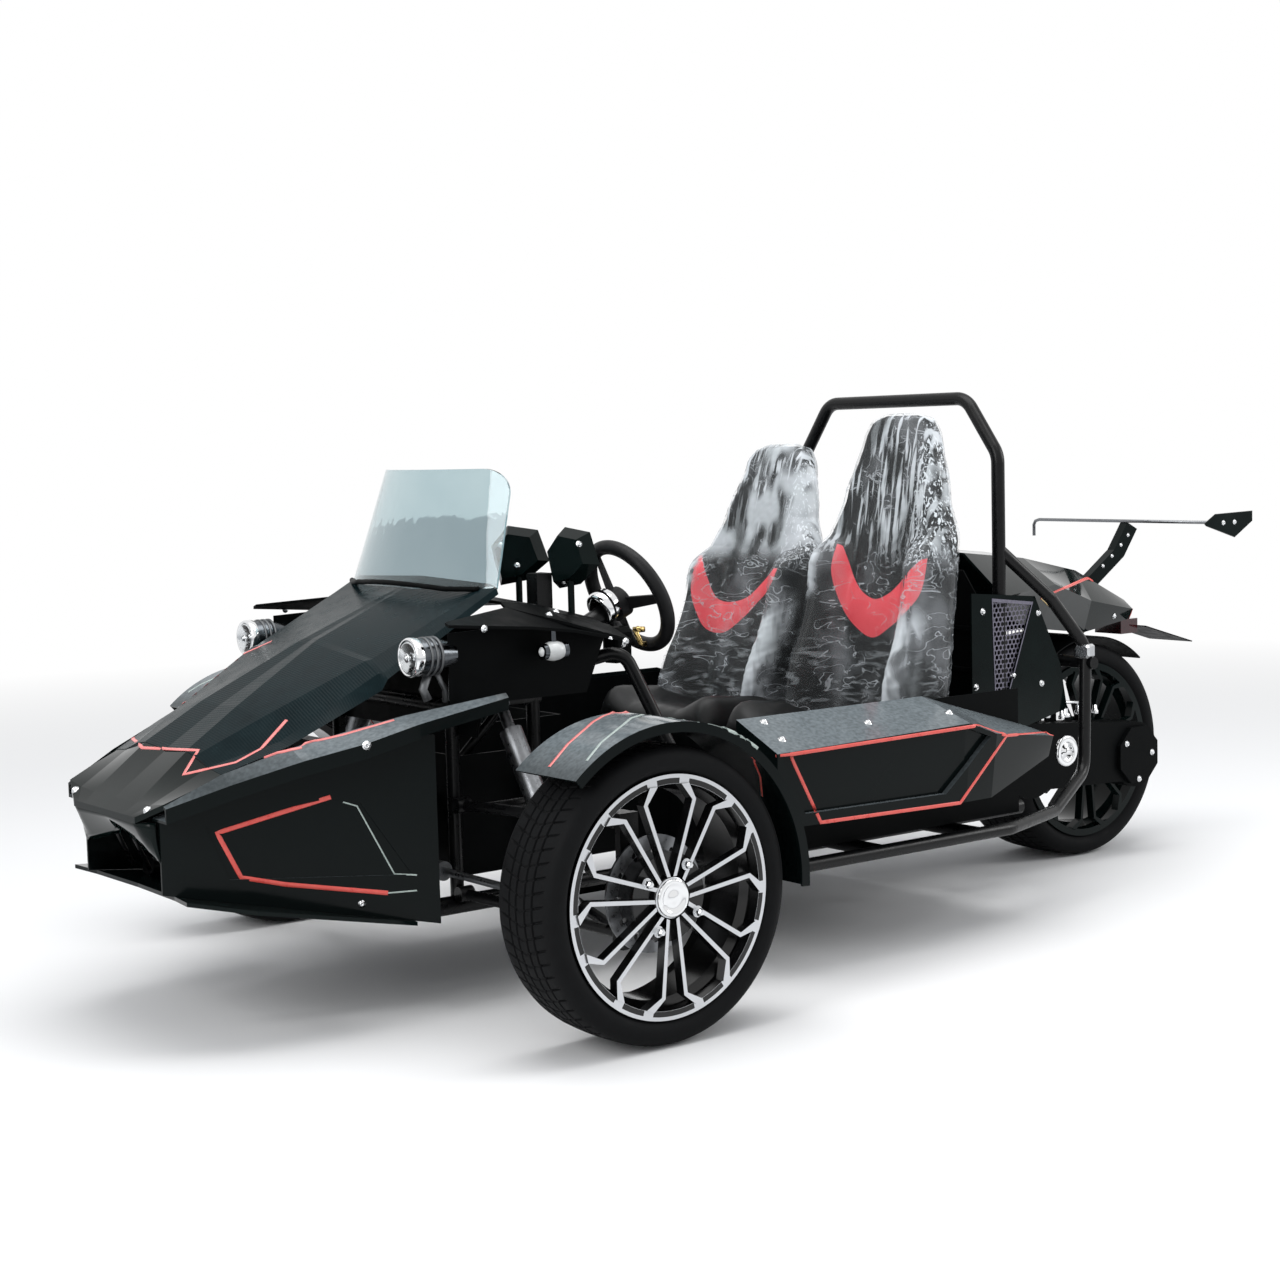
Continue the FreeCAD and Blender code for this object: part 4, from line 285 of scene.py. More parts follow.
# Sand cast aluminium cases: dull grey and slightly pebbled.
CAST = material("cast_aluminium", (0.42, 0.6), 12, ("#5d5f61", "#7c7e80"),
                ("TexNoise", 2.0, 0.3, 0.6, {"Detail": 2.0}), Metallic=1.0)
# Bright zinc plated steel: bolt heads that catch the light.
ZINC = material("bright_zinc", (0.15, 0.3), 3, Metallic=1.0, Base_Color=linear("#d6d8da"))
# Chrome plate on polished steel: mirror bright, hardly clouded.
CHROME = material("chrome_plate", (0.04, 0.1), 10, Metallic=1.0, Base_Color=linear("#e6e7e8"))
# Cut vinyl pinstripe: warm red with a thin gloss, the one bright colour on the panels.
STRIPE = material("red_pinstripe_vinyl", (0.25, 0.4), 20, ("#d8423c", "#e4665c"), IOR=1.5)
# The red pinstripe vinyl again, painted lighter towards pink as the sky's light on the faces that meet the
# sky.
STRIPE_SKY_LIT = material("pinstripe_vinyl_painted_sky_light", (0.25, 0.4), 20, ("#dc6a68", "#e88f8b"), IOR=1.5)
# Pale grey green painted highlight along the rim of the fenders and the edges of the cheeks, laid as a thin
# strip.
EDGE_HIGHLIGHT = material("pale_edge_painted_highlight", (0.25, 0.4), 20, ("#8f9d98", "#b8c4bf"), IOR=1.5)
# Tinted acrylic sheet: clear, cool blue grey, polished all over.
ACRYLIC = material("tinted_acrylic", (0.02, 0.02), 120, ("#a9c0c6", "#bcd0d4"), detail=2.0, IOR=1.49,
                   Transmission_Weight=1.0)
# Charcoal seat vinyl: satin, with a pebbled leather grain.
VINYL = material("charcoal_seat_vinyl", (0.36, 0.5), 30, ("#08090a", "#121415"),
                 ("TexVoronoi", 2.2, 0.2, 0.5, {}), IOR=1.35)
# Red seat vinyl of the chest crescent, a shade lighter where the film over it scatters light.
VINYL_RED = material("red_seat_vinyl", (0.35, 0.5), 30, ("#d9303c", "#ef5560"), IOR=1.5)
# clear film whose white creases and patches are painted highlights
POLYTHENE = polythene_film()
# Clear moulded lamp glass: sharp, with a slight haze.
LENS = material("clear_lens", (0.02, 0.08), 6, IOR=1.49, Transmission_Weight=1.0,
                Base_Color=linear("#f2f5f6"))
# Red moulded acrylic over an unlit lamp: nearly black, with a clear gloss.
RED_LENS = material("red_lens", (0.1, 0.2), 10, ("#2a0c0f", "#3d1216"), IOR=1.49, Coat_Weight=1.0)
# Moulded polycarbonate of the side indicators: milky white, with a soft gloss.
MILKY = material("milky_polycarbonate", (0.12, 0.25), 8, ("#d3d6d6", "#f0f2f1"), IOR=1.45,
                 Transmission_Weight=0.15)
# Dark chrome of the lamp housings: mirror bright but grey, clouded by handling.
SMOKED = material("smoked_chrome", (0.12, 0.3), 14, ("#3c3f43", "#6a6e72"), Metallic=1.0)
# Turned brass fitting at the steering wheel: warm, slightly tarnished.
BRASS = material("turned_brass", (0.2, 0.38), 6, ("#a8894a", "#d8c188"), Metallic=1.0)
# Painted expanded steel mesh in the side vents: lilac grey and satin.
MESH = material("painted_expanded_mesh", (0.3, 0.45), 9, ("#565360", "#7d7a89"), IOR=1.4)
# Moulded rubber of the steering wheel's grip: matt and finely grained.
GRIP = material("grip_rubber", (0.4, 0.6), 12, ("#0c0c0d", "#18181a"),
                ("TexVoronoi", 1.8, 0.2, 0.6, {}), IOR=1.3)

# CAD nodes by their finish; a name that ends in a low line stands for the left and the right one
NODE_FINISHES = (
    (GEL, "nose_panel front_splitter tail_body wing_arm wing_blade mirrors side_panel_"),
    # these panels have the sky's sheen painted pale grey on their upward faces
    (SKY_SHEEN_GEL, "fender_ nose_side_ side_pod_"),
    (FILM, "hood"),
    (ABS, "dash floor_pan drive_case rear_hugger plate_bracket"),
    (POWDER, "front_cross_tubes cross_tubes roll_hoop rear_cross_tube swing_arm steering_column seat_risers "
             "chassis_rail_ front_frame_ side_tube_ control_arms_ knuckle_"),
    (STEEL, "rear_shock tie_rods exhaust front_shock_ brake_disc_front_"),
    (CAST, "rack_housing engine_block radiator"),
    (GRIP, "steering_wheel"),
    (ACRYLIC, "windscreen"),
    (SMOKED, "front_lamps_"),
    (RED_LENS, "tail_lamp"),
)


def refinish(node, finish):
    mesh_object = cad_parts[node]
    if not mesh_object.material_slots:
        mesh_object.data.materials.append(finish)
    for slot in mesh_object.material_slots:
        slot.material = finish


for finish, names in NODE_FINISHES:
    for name in names.split():
        for end in ("left", "right") if name.endswith("_") else ("",):
            refinish(name + end, finish)
for place in WHEELS:
    low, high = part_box("wheel_" + place)
    side = outer_side(place)
    edge = high.y - CUT_DEPTH if side > 0 else low.y + CUT_DEPTH
    alloy = GEL if place == "rear" else diamond_cut_alloy(side, edge, tuple((low + high) / 2))
    refinish("wheel_" + place, alloy)


# Meshes
def placed(name, data):
    made = bpy.data.objects.new(name, data)
    bpy.context.collection.objects.link(made)
    return made


def piece(name, verts, faces, finish, slot="trim_black", body="car_body", smooth=True):
    mesh = bpy.data.meshes.new(name)
    mesh.from_pydata([tuple(v) for v in verts], [], faces)
    mesh.validate()
    mesh.materials.append(finish)
    made = placed(name, mesh)
    for face in mesh.polygons:
        face.use_smooth = smooth
    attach(made, body)
    return made


def turns(count):
    """Even angles around a circle."""
    return [2 * math.pi * k / count for k in range(count)]


def shares(steps):
    """Even places from -1 to 1."""
    return [-1 + 2 * i / steps for i in range(steps + 1)]


def grid_faces(rows, columns, close_rows=False, close_columns=False):
    """Quads of a grid of points stored row by row."""
    faces = []
    for r in range(rows if close_rows else rows - 1):
        for c in range(columns if close_columns else columns - 1):
            down = (r + 1) % rows
            across = (c + 1) % columns
            faces.append((r * columns + c, r * columns + across, down * columns + across, down * columns + c))
    return faces


def lofted(rings):
    """A skin over rings of points, with a face on each end."""
    around = len(rings[0])
    verts = [point for ring in rings for point in ring]
    ends = [tuple(range(around))[::-1], tuple(range(len(verts) - around, len(verts)))]
    return verts, grid_faces(len(rings), around, close_columns=True) + ends


def merged(parts):
    verts, faces = [], []
    for more_verts, more_faces in parts:
        start = len(verts)
        verts += list(more_verts)
        faces += [tuple(start + i for i in face) for face in more_faces]
    return verts, faces


def turned(centre, axis, profile, around=48):
    """A body of revolution: profile pairs are (along the axis, radius) in millimetres."""
    turn = axis.to_track_quat("Z", "Y").to_matrix()
    verts = []
    for along, radius in profile:
        for angle in turns(around):
            spoke = Vector((radius * math.cos(angle), radius * math.sin(angle), along)) * MM
            verts.append(centre + turn @ spoke)
    return verts, grid_faces(len(profile), around, close_columns=True)


def tube(places, radius, around=12, origin=Vector()):
    """A round tube through places counted from an origin, with closed ends."""
    points = [origin + Vector(place) for place in places]
    last = len(points) - 1
    side = None
    rings = []
    for i, point in enumerate(points):
        ahead = (points[min(i + 1, last)] - points[max(i - 1, 0)]).normalized()
        side = (side - ahead * side.dot(ahead)) if side else ahead.orthogonal()
        side.normalize()
        other = ahead.cross(side)
        rings.append([point + (side * math.cos(a) + other * math.sin(a)) * radius for a in turns(around)])
    return lofted(rings)


def block(centre, half, turn=0.0):
    """A block with chamfered ends and edges, given by its half sizes, turned about the upright axis."""
    spin = Matrix.Rotation(turn, 3, "Z")
    outline = ((-1, -0.7), (-0.7, -1), (0.7, -1), (1, -0.7), (1, 0.7), (0.7, 1), (-0.7, 1), (-1, 0.7))
    rings = []
    for along, shrink in ((-1, 0.72), (-0.86, 1), (0.86, 1), (1, 0.72)):
        wide, high = half[1] * shrink, half[2] * shrink
        rings.append([centre + spin @ Vector((along * half[0], y * wide, z * high)) for y, z in outline])
    return lofted(rings)


def panel(name, corners, thick):
    """A flat moulded sheet over corners given in order, its edges turned back by its thickness."""
    corners = [Vector(p) for p in corners]
    normal = (corners[1] - corners[0]).cross(corners[2] - corners[0]).normalized()
    centre = sum(corners, Vector()) / len(corners)
    rings = [[p + normal * depth + (centre - p).normalized() * inset for p in corners]
             for depth, inset in ((0, 0), (thick * 0.7, 0), (thick, thick * 0.6))]
    return piece(name, *lofted(rings), ABS, smooth=False)


# Tyres
BEAD_R = 0.231
BULGE_R = 0.253
SHOULDER_R = 0.270
LINER_R = 0.220
TREAD_INSET = 30 * MM
TREAD_STEPS = 56
TREAD_GROOVES = (-0.62, -0.24, 0.24, 0.62)
SHOULDER_SHARE = 0.66
GROOVE_HALF_SHARE = 0.045
GROOVE_DEPTH = 6 * MM
CROWN_DROP = 2.5 * MM
SIPE_COUNT = 66
# places along one pitch of the tread, and whether the sipe is cut there
SIPE_MARKS = ((0.0, 0), (0.07, 1), (0.16, 1), (0.23, 0), (0.6, 0))
SIPE_DEPTH = 4 * MM
SIPE_SLANT = 0.9
TREAD_EDGE_DEG = 35


def tyre_section(half, radius):
    """Points of the tyre's outer line from one bead to the other: side, radius, share of the sipes' depth."""
    wall = [(half - 16 * MM, BEAD_R), (half - 5 * MM, BEAD_R + 8 * MM), (half - 1 * MM, BULGE_R - 6 * MM),
            (half, BULGE_R), (half - 1 * MM, BULGE_R + 9 * MM), (half - 4 * MM, SHOULDER_R),
            (half - 10 * MM, SHOULDER_R + 6.5 * MM), (half - 20 * MM, radius - 4 * MM)]
    points = [(-side, r, 0.0) for side, r in wall]
    for share in shares(TREAD_STEPS):
        grooved = any(abs(share - groove) < GROOVE_HALF_SHARE for groove in TREAD_GROOVES)
        crown = radius - CROWN_DROP * share * share
        depth = GROOVE_DEPTH if grooved else 0.0
        sipes = 0.0 if grooved else 1.0 if abs(share) > SHOULDER_SHARE else 0.5
        points.append((share * (half - TREAD_INSET), crown - depth, sipes))
    return points + [(side, r, 0.0) for side, r in reversed(wall)]


def make_tyre(place, body):
    low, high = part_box("tyre_" + place)
    centre = (low + high) / 2
    half = (high.y - low.y) / 2
    section = tyre_section(half, (high.z - low.z) / 2)
    section = [(section[0][0], LINER_R, 0.0), *section, (section[-1][0], LINER_R, 0.0)]
    verts = []
    for side, r, tread in section:
        slant = SIPE_SLANT * abs(side) / half
        for pitch in range(SIPE_COUNT):
            for mark, sunk in SIPE_MARKS:
                turn = 2 * math.pi * (pitch + mark + slant) / SIPE_COUNT
                reach = r - SIPE_DEPTH * tread * sunk
                verts.append((centre.x + reach * math.cos(turn), centre.y + side,
                              centre.z + reach * math.sin(turn)))
    faces = grid_faces(len(section), SIPE_COUNT * len(SIPE_MARKS), close_rows=True, close_columns=True)
    made = piece("tread_" + place, verts, faces, RUBBER, "tyre_rubber", body)
    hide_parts("tyre_" + place)
    sharp = made.modifiers.new("edges", "EDGE_SPLIT")
    sharp.split_angle = math.radians(TREAD_EDGE_DEG)


for place, body in WHEELS.items():
    make_tyre(place, body)


# Places seen in the photograph, by its pixels, carried to the surface that is there
LEVEL = Euler((math.radians(90 + CAMERA_PITCH_DEG), 0, math.radians(CAMERA_YAW_DEG - 90)), "XYZ").to_matrix()
VIEW = LEVEL @ Matrix.Rotation(math.radians(CAMERA_ROLL_DEG), 3, "Z")
MIRROR = Vector((1, -1, 1))
STRIPE_THICK = 0.8 * MM
STRIPE_STEP = 10 * MM
STRIPE_STEP_PX = 5
# distances from the camera that are tried where a pixel's ray passes its surface by
TRIED_REACHES = [3.0 + 0.02 * i for i in range(200)]
SURFACES = {}


def surface(*nodes):
    """One search tree over the faces of some CAD nodes, or over a made piece."""
    if nodes not in SURFACES:
        verts, faces = [], []
        for node in nodes:
            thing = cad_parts[node] if isinstance(node, str) else node
            start = len(verts)
            verts += [thing.matrix_world @ v.co for v in thing.data.vertices]
            faces += [[start + i for i in face.vertices] for face in thing.data.polygons]
        SURFACES[nodes] = BVHTree.FromPolygons(verts, faces)
    return SURFACES[nodes]


def seen(tree, pixel, side=1):
    """Where the photograph's pixel meets a surface on the left, or its mirror place on the right."""
    u, v = pixel
    way = (VIEW @ Vector((u - IMAGE_PX / 2, IMAGE_PX / 2 - v, -CAMERA_FOCAL_PX))).normalized()
    start = Vector(CAMERA_PLACE)
    place, normal, _, _ = tree.ray_cast(start, way)
    if place is None:
        near = min((start + way * d for d in TRIED_REACHES), key=lambda p: tree.find_nearest(p)[3])
        place, normal, _, _ = tree.find_nearest(near)
    if normal.dot(way) > 0:
        normal = -normal
    return (place, normal) if side > 0 else (place * MIRROR, normal * MIRROR)


def settle(tree, place, outward):
    """The nearest place on a surface, with its normal turned to the outward side."""
    spot, normal, _, _ = tree.find_nearest(place)
    return spot, (normal if normal.dot(outward) > 0 else -normal)


def ribbon(tree, spots, width, thick):
    """Vertices and faces of a flat strip laid along spots on a surface."""
    path = []
    for (a, na), (b, nb) in zip(spots, spots[1:]):
        steps = max(1, round((b - a).length / STRIPE_STEP))
        path += [(a.lerp(b, i / steps), na.lerp(nb, i / steps)) for i in range(steps)]
    path.append(spots[-1])
    laid = [settle(tree, place, normal) for place, normal in path]
    verts = []
    for i, (place, normal) in enumerate(laid):
        ahead = laid[min(i + 1, len(laid) - 1)][0] - laid[max(i - 1, 0)][0]
        across = ahead.cross(normal).normalized() * width / 2
        for side, lift in ((-1, 0), (-0.9, thick), (0.9, thick), (1, 0)):
            verts.append(place + across * side + normal * lift)
    return verts, grid_faces(len(laid), 4)


def striped(name, left_tree, tree, side, pixels, width, finish):
    """A pinstripe along pixels of the photograph, on the left panel or mirrored on the right one."""
    dense = [pixels[0]]
    for (au, av), (bu, bv) in zip(pixels, pixels[1:]):
        steps = max(1, round(math.hypot(bu - au, bv - av) / STRIPE_STEP_PX))
        dense += [(au + (bu - au) * i / steps, av + (bv - av) * i / steps) for i in range(1, steps + 1)]
    spots = [seen(left_tree, pixel, side) for pixel in dense]
    piece(name, *ribbon(tree, spots, width, STRIPE_THICK), finish, "lamp_red")


def bolts(name, spots, radius):
    """Low domed bolt heads with a flat socket, set on their washers; radius in millimetres."""
    profile = ((1.35, 0.0), (1.35, 0.18), (1.0, 0.2), (0.96, 0.55), (0.7, 0.82), (0.42, 0.9), (0.38, 0.55),
               (0.0, 0.5))
    head = [(up * radius, out * radius) for out, up in profile]
    piece(name, *merged([turned(place, normal, head, 16) for place, normal in spots]), ZINC, "hub_steel")


# Pinstripes and painted edge highlights: name, panel, width in millimetres, finish and the photograph's
# pixels
SIDE_STRIPES = (
    ("pod_window_stripe", "side_pod_", 8, STRIPE,
     ((790, 754.6), (979.3, 725.3), (1006.9, 735.6), (960.4, 802.8), (821, 822.4), (790, 754.6))),
    ("pod_tail_stripe", "side_pod_", 7, STRIPE, ((1006.9, 735.6), (1062, 730.5))),
    ("pod_front_stripe", "side_pod_", 6, STRIPE, ((776, 756), (790, 754.6))),
    ("cheek_stripe", "nose_side_", 9, STRIPE,
     ((330.6, 797), (217, 833), (241.3, 877.6), (286, 884.5), (388, 893))),
    # painted highlights along the cheek's rear edge and foot
    ("cheek_edge_highlight", "nose_side_", 3, EDGE_HIGHLIGHT, ((343, 802), (357, 806), (394.5, 874), (417, 875))),
    ("cheek_foot_highlight", "nose_side_", 3, EDGE_HIGHLIGHT, ((388, 893), (417, 890.5))),
    ("tail_stripe", "tail_body", 8, STRIPE, ((1040.6, 598.2), (1099, 573))),
    ("tail_low_line", "tail_body", 3.5, BRASS, ((1040.6, 598.2), (1087, 642.6))),
    ("tail_end_line", "tail_body", 3.5, STRIPE, ((1143.6, 603.6), (1135, 625.3))),
    # painted sky light: the fender's upward stripe in the lighter pink copy of the red vinyl
    ("fender_stripe", "fender_", 7, STRIPE_SKY_LIT,
     ((549.2, 767), (568, 744), (593.2, 721.8), (612, 711), (629.6, 704.5))),
    # painted highlight along the fender's rim
    ("fender_rim_highlight", "fender_", 6, EDGE_HIGHLIGHT,
     ((586.5, 761), (600.9, 742.8), (631.5, 718), (668, 707), (705, 707), (738, 718), (765, 740))),
    ("fender_rear_stripe", "fender_", 5, STRIPE, ((752, 757), (760, 776), (762, 796))),
)
NOSE_STRIPES = (
    ("nose_stripe", ("nose_panel", "hood"),
     ((125.4, 730.9), (142.4, 747.8), (198.2, 750.3), (183.6, 774.5), (235.7, 762.4), (261.2, 748.6))),
    ("nose_branch", ("hood",), ((261.2, 748.6), (286.6, 720))),
    ("nose_far_line", ("hood",), ((159.4, 696.9), (206.6, 670.3), (272, 641))),
    ("blade_stripe", ("nose_side_left",), ((262, 752), (300, 744.5), (342, 735), (394, 720))),
)
NOSE_STRIPE_WIDTH = 7.5 * MM

for name, panel_name, width, finish, pixels in SIDE_STRIPES:
    for label, side in SIDES:
        pair = [panel_name + end if panel_name.endswith("_") else panel_name for end in ("left", label)]
        left_tree, tree = (surface(node) for node in pair)
        striped(name + "_" + label, left_tree, tree, side, pixels, width * MM, finish)
for name, nodes, pixels in NOSE_STRIPES:
    # the nose's upward stripes take the lighter pink copy of the red vinyl, painted as the sky's light
    striped(name + "_left", surface(*nodes), surface(*nodes), 1, pixels, NOSE_STRIPE_WIDTH, STRIPE_SKY_LIT)

# Bolts: name, the surfaces that carry them, radius in millimetres and the photograph's pixels
BOLT_PLACES = (
    ("pod_bolts", ("side_pod_left",), 7, ((782, 740), (868, 723), (948.9, 713.1), (764, 722.5))),
    ("panel_bolts", ("side_panel_left",), 6,
     ((982.7, 611.8), (976.2, 687.5), (1013, 675.8), (1041.7, 683.2), (1038.4, 612.7))),
    ("nose_bolts", ("nose_side_left", "nose_panel"), 6.5, ((147, 810), (366.6, 745.4))),
    ("splitter_bolts", ("nose_side_left", "front_splitter"), 5.5, ((361.7, 904),)),
    ("tail_bolts", ("tail_body",), 6, ((1113.9, 616.2),)),
    ("dash_bolts", ("dash",), 5.5,
     ((537.8, 589.7), (549.2, 614.6), (556, 611.7), (483.2, 634), (608.5, 641), (621.9, 653))),
)
ONE_SIDE_BOLTS = (
    ("drive_cover_bolts", "drive_case", 6, ((1139.2, 778.8), (1127, 744), (1152, 752))),
    ("mirror_bolts", "mirrors", 5, ((500.4, 545.4), (517.1, 565.8), (578.9, 544), (564.5, 583))),
)
for label, side in SIDES:
    for name, nodes, radius, pixels in BOLT_PLACES:
        bolts(name + "_" + label, [seen(surface(*nodes), p, side) for p in pixels], radius)
for name, node, radius, pixels in ONE_SIDE_BOLTS:
    bolts(name, [seen(surface(node), p) for p in pixels], radius)


# Headlamps: a chrome bezel with a ribbed reflector bowl behind a domed glass; profiles in millimetres
LAMP_PLACE = (1.0975, 0.342, 0.722)
INDICATOR_PLACE = (0.7975, 0.400, 0.716)
LAMP_BEZEL = ((-14, 37.6), (-12, 39.5), (1, 39.5), (5, 37), (5, 34), (2, 32.5), (0.4, 30))
LAMP_BOWL = [(0.4 + 3.5 * (i % 2) + 2.5 * (1 - i / 9) * (i / 9), 30 - 2.6 * i) for i in range(10)]
LAMP_BULB = [(6, 5.5), (9, 3), (9.5, 0.1)]
LAMP_DOME = [(1 + 11 * math.cos(math.radians(a)), 33.5 * math.sin(math.radians(a))) for a in range(90, 0, -9)]
LAMP_RIB = ((-2, 36), (-2, 39), (2, 39), (2, 36))
LAMP_RIBS_BACK = (30, 42, 54)
INDICATOR = [(-36 + 72 * i / 16, max(0.1, 20 * math.sin(math.pi * i / 16) ** 0.6)) for i in range(17)]


def make_lamps(label, side):
    flip = Vector((1, side, 1))
    front = Vector(LAMP_PLACE) * flip
    bezel = turned(front, FORWARD, LAMP_BEZEL)
    bowl = turned(front, FORWARD, LAMP_BOWL + LAMP_BULB)
    piece("lamp_bezel_" + label, *merged([bezel, bowl]), CHROME)
    piece("lamp_glass_" + label, *turned(front, FORWARD, LAMP_DOME + [(12, 0.1)]), LENS)
    ribs = [turned(front - FORWARD * back * MM, FORWARD, LAMP_RIB) for back in LAMP_RIBS_BACK]
    foot = front + Vector((-0.040, 0, -0.034))
    stay = tube(((0, 0, 0), (0.012, 0, -0.030), (0.004, side * 0.004, -0.052)), 9 * MM, origin=foot)
    rear_stay = tube(((-0.02, 0, 0), (-0.045, side * -0.01, -0.035), (-0.05, side * -0.02, -0.06)), 6 * MM,
                     origin=foot)
    piece("lamp_bracket_" + label, *merged(ribs + [stay, rear_stay]), CAST)
    piece("indicator_lens_" + label, *turned(Vector(INDICATOR_PLACE) * flip, FORWARD, INDICATOR), MILKY)

for label, side in SIDES:
    make_lamps(label, side)

# Chin: the sheet under the nose's lip, cut as a shallow arch over the mouth
CHIN_HALF = 0.172
CHIN_TOP = (1.5895, 0.4365)
CHIN_LOW = (1.548, 0.398)
CHIN_CORNER_FROM = 0.84
CHIN_CORNER_BACK = 0.026
CHIN_SWEEP = 0.006
CHIN_ARCH = 0.040
CHIN_BULGE = 3 * MM
CHIN_ROWS = 7
CHIN_COLUMNS = 33
CHIN_THICK = 3 * MM
MOUTH_BARS_Y = (-0.10, -0.02, 0.06, 0.13)
MOUTH_BAR_R = 4.5 * MM


def make_chin():
    verts = []
    for r in range(CHIN_ROWS):
        share = r / (CHIN_ROWS - 1)
        for y in (across * CHIN_HALF for across in shares(CHIN_COLUMNS - 1)):
            away = abs(y) / CHIN_HALF
            corner = max(0.0, away - CHIN_CORNER_FROM) / (1 - CHIN_CORNER_FROM)
            top = Vector((CHIN_TOP[0] - CHIN_CORNER_BACK * corner, y, CHIN_TOP[1]))
            low = Vector((CHIN_LOW[0] + CHIN_SWEEP * away, y, CHIN_LOW[1] - CHIN_ARCH * away))
            verts.append(top.lerp(low, share) + FORWARD * CHIN_BULGE * math.sin(math.pi * share))
    made = piece("nose_chin", verts, grid_faces(CHIN_ROWS, CHIN_COLUMNS), GEL)
    thick = made.modifiers.new("sheet", "SOLIDIFY")
    thick.thickness = CHIN_THICK
    thick.offset = -1
    bars = [tube(((1.535, y, 0.405), (1.47, y - 0.05, 0.30)), MOUTH_BAR_R, 8) for y in MOUTH_BARS_Y]
    piece("mouth_bars", *merged(bars), POWDER)


make_chin()

# Side vents: expanded mesh behind the opening, held by a flat frame
VENT_CORNERS = ((-0.4934, 0.7327), (-0.5016, 0.4811), (-0.5365, 0.4811), (-0.6311, 0.7166))
VENT_EDGES = tuple(zip(VENT_CORNERS, VENT_CORNERS[1:] + VENT_CORNERS[:1]))
VENT_Y = 0.3633
VENT_ROWS = 36
VENT_COLUMNS = 16
VENT_SPILL = 3 * MM
VENT_FRAME_OUT = 2.8 * MM
# the frame's section: outward from the opening's edge, and forward of its face
VENT_FRAME = ((4 * MM, 0.4 * MM), (4 * MM, 1.6 * MM), (-5 * MM, 1.6 * MM), (-5 * MM, 0.4 * MM))
CELL = 13 * MM
BAR = 3.2 * MM


def in_vent(x, z):
    """Whether a place lies in the vent's outline, or spills over it a little."""
    return all(((bx - ax) * (z - az) - (bz - az) * (x - ax)) / math.hypot(bx - ax, bz - az) <= VENT_SPILL
               for (ax, az), (bx, bz) in VENT_EDGES)


def make_vent(label, side):
    cells = []
    reach = CELL / math.sqrt(3)
    low_x, low_z = (min(c[axis] for c in VENT_CORNERS) for axis in (0, 1))
    angles = [math.radians(60 * k + 30) for k in range(6)]
    for row in range(VENT_ROWS):
        for column in range(VENT_COLUMNS):
            x = low_x + (column + 0.5 * (row % 2)) * CELL
            z = low_z + row * reach * 1.5
            if in_vent(x, z):
                cells.append(([Vector((x + r * math.cos(a), side * (VENT_Y - 4 * MM), z + r * math.sin(a)))
                               for r in (reach, reach - BAR / math.sqrt(3)) for a in angles],
                              grid_faces(2, 6, close_columns=True)))
    made = piece("vent_mesh_" + label, *merged(cells), MESH, smooth=False)
    joined = made.modifiers.new("joined", "WELD")
    joined.merge_threshold = 0.2 * MM
    thick = made.modifiers.new("sheet", "SOLIDIFY")
    thick.thickness = 1.5 * MM
    frame_verts = []
    middle_x, middle_z = (sum(c[axis] for c in VENT_CORNERS) / 4 for axis in (0, 1))
    for x, z in VENT_CORNERS:
        away = Vector((x - middle_x, 0, z - middle_z)).normalized()
        for out, deep in VENT_FRAME:
            frame_verts.append(Vector((x, side * (VENT_Y + VENT_FRAME_OUT + deep), z)) + away * out)
    piece("vent_frame_" + label, frame_verts, grid_faces(4, 4, True, True), MESH, smooth=False)

for label, side in SIDES:
    make_vent(label, side)

# Small bright fittings at the feet of the hoop's braces
BRACE_JOINT = (-0.785, 0.3305, 0.338)
JOINT_RING = ((0, 22), (0, 38), (6, 38), (8, 35), (8, 25), (6, 22), (0, 22))
JOINT_PIN = ((0, 22), (4, 20), (4, 10), (9, 9), (9, 0.1))


def make_fittings(label, side):
    flip = Vector((1, side, 1))
    spot, normal = seen(surface("side_tube_left"), (1083, 652))
    clamp = block((spot - normal * 12 * MM) * flip, (17 * MM, 21 * MM, 17 * MM), 0.3)
    piece("brace_clamp_" + label, *clamp, ZINC, "hub_steel", smooth=False)
    joint = Vector(BRACE_JOINT) * flip
    ring = turned(joint, LEFT * side, JOINT_RING)
    pin = turned(joint, LEFT * side, JOINT_PIN, 24)
    piece("brace_joint_" + label, *merged([ring, pin]), CHROME, "hub_steel")


for label, side in SIDES:
    make_fittings(label, side)

# Firewalls: moulded sheets that close the space under the dash and behind the seats
WALL_THICK = 4 * MM
KICK_THICK = 3 * MM
KICK_Y = 0.36
WEB_Y = -0.12
SEAT_WALL_X = -0.508
SEAT_WALL_RIBS_Z = (0.36, 0.46, 0.56, 0.66)
DASH_WALL = ((0.925, -0.31, 0.545), (0.925, 0.31, 0.545), (0.925, 0.33, 0.60), (0.88, 0.30, 0.775),
             (0.88, -0.30, 0.775), (0.925, -0.33, 0.60))
SEAT_WALL = ((-0.335, 0.26), (0.335, 0.26), (0.335, 0.70), (0.26, 0.80), (-0.26, 0.80), (-0.335, 0.70))
KICK_OUTLINE = ((1.02, 0.62), (1.02, 0.765), (0.80, 0.772), (0.66, 0.752), (0.64, 0.735), (0.69, 0.62))
WEB_OUTLINE = ((-0.60, 0.52), (-0.60, 0.64), (-1.28, 0.625), (-1.30, 0.60), (-1.0, 0.592), (-0.78, 0.54))

panel("dash_firewall", DASH_WALL, WALL_THICK)
panel("seat_firewall", [(SEAT_WALL_X, y, z) for y, z in SEAT_WALL], WALL_THICK)
for i, z in enumerate(SEAT_WALL_RIBS_Z):
    rib = block(Vector((SEAT_WALL_X + WALL_THICK, 0, z)), (6 * MM, 0.30, 7 * MM))
    piece("firewall_rib_%d" % i, *rib, ABS, smooth=False)

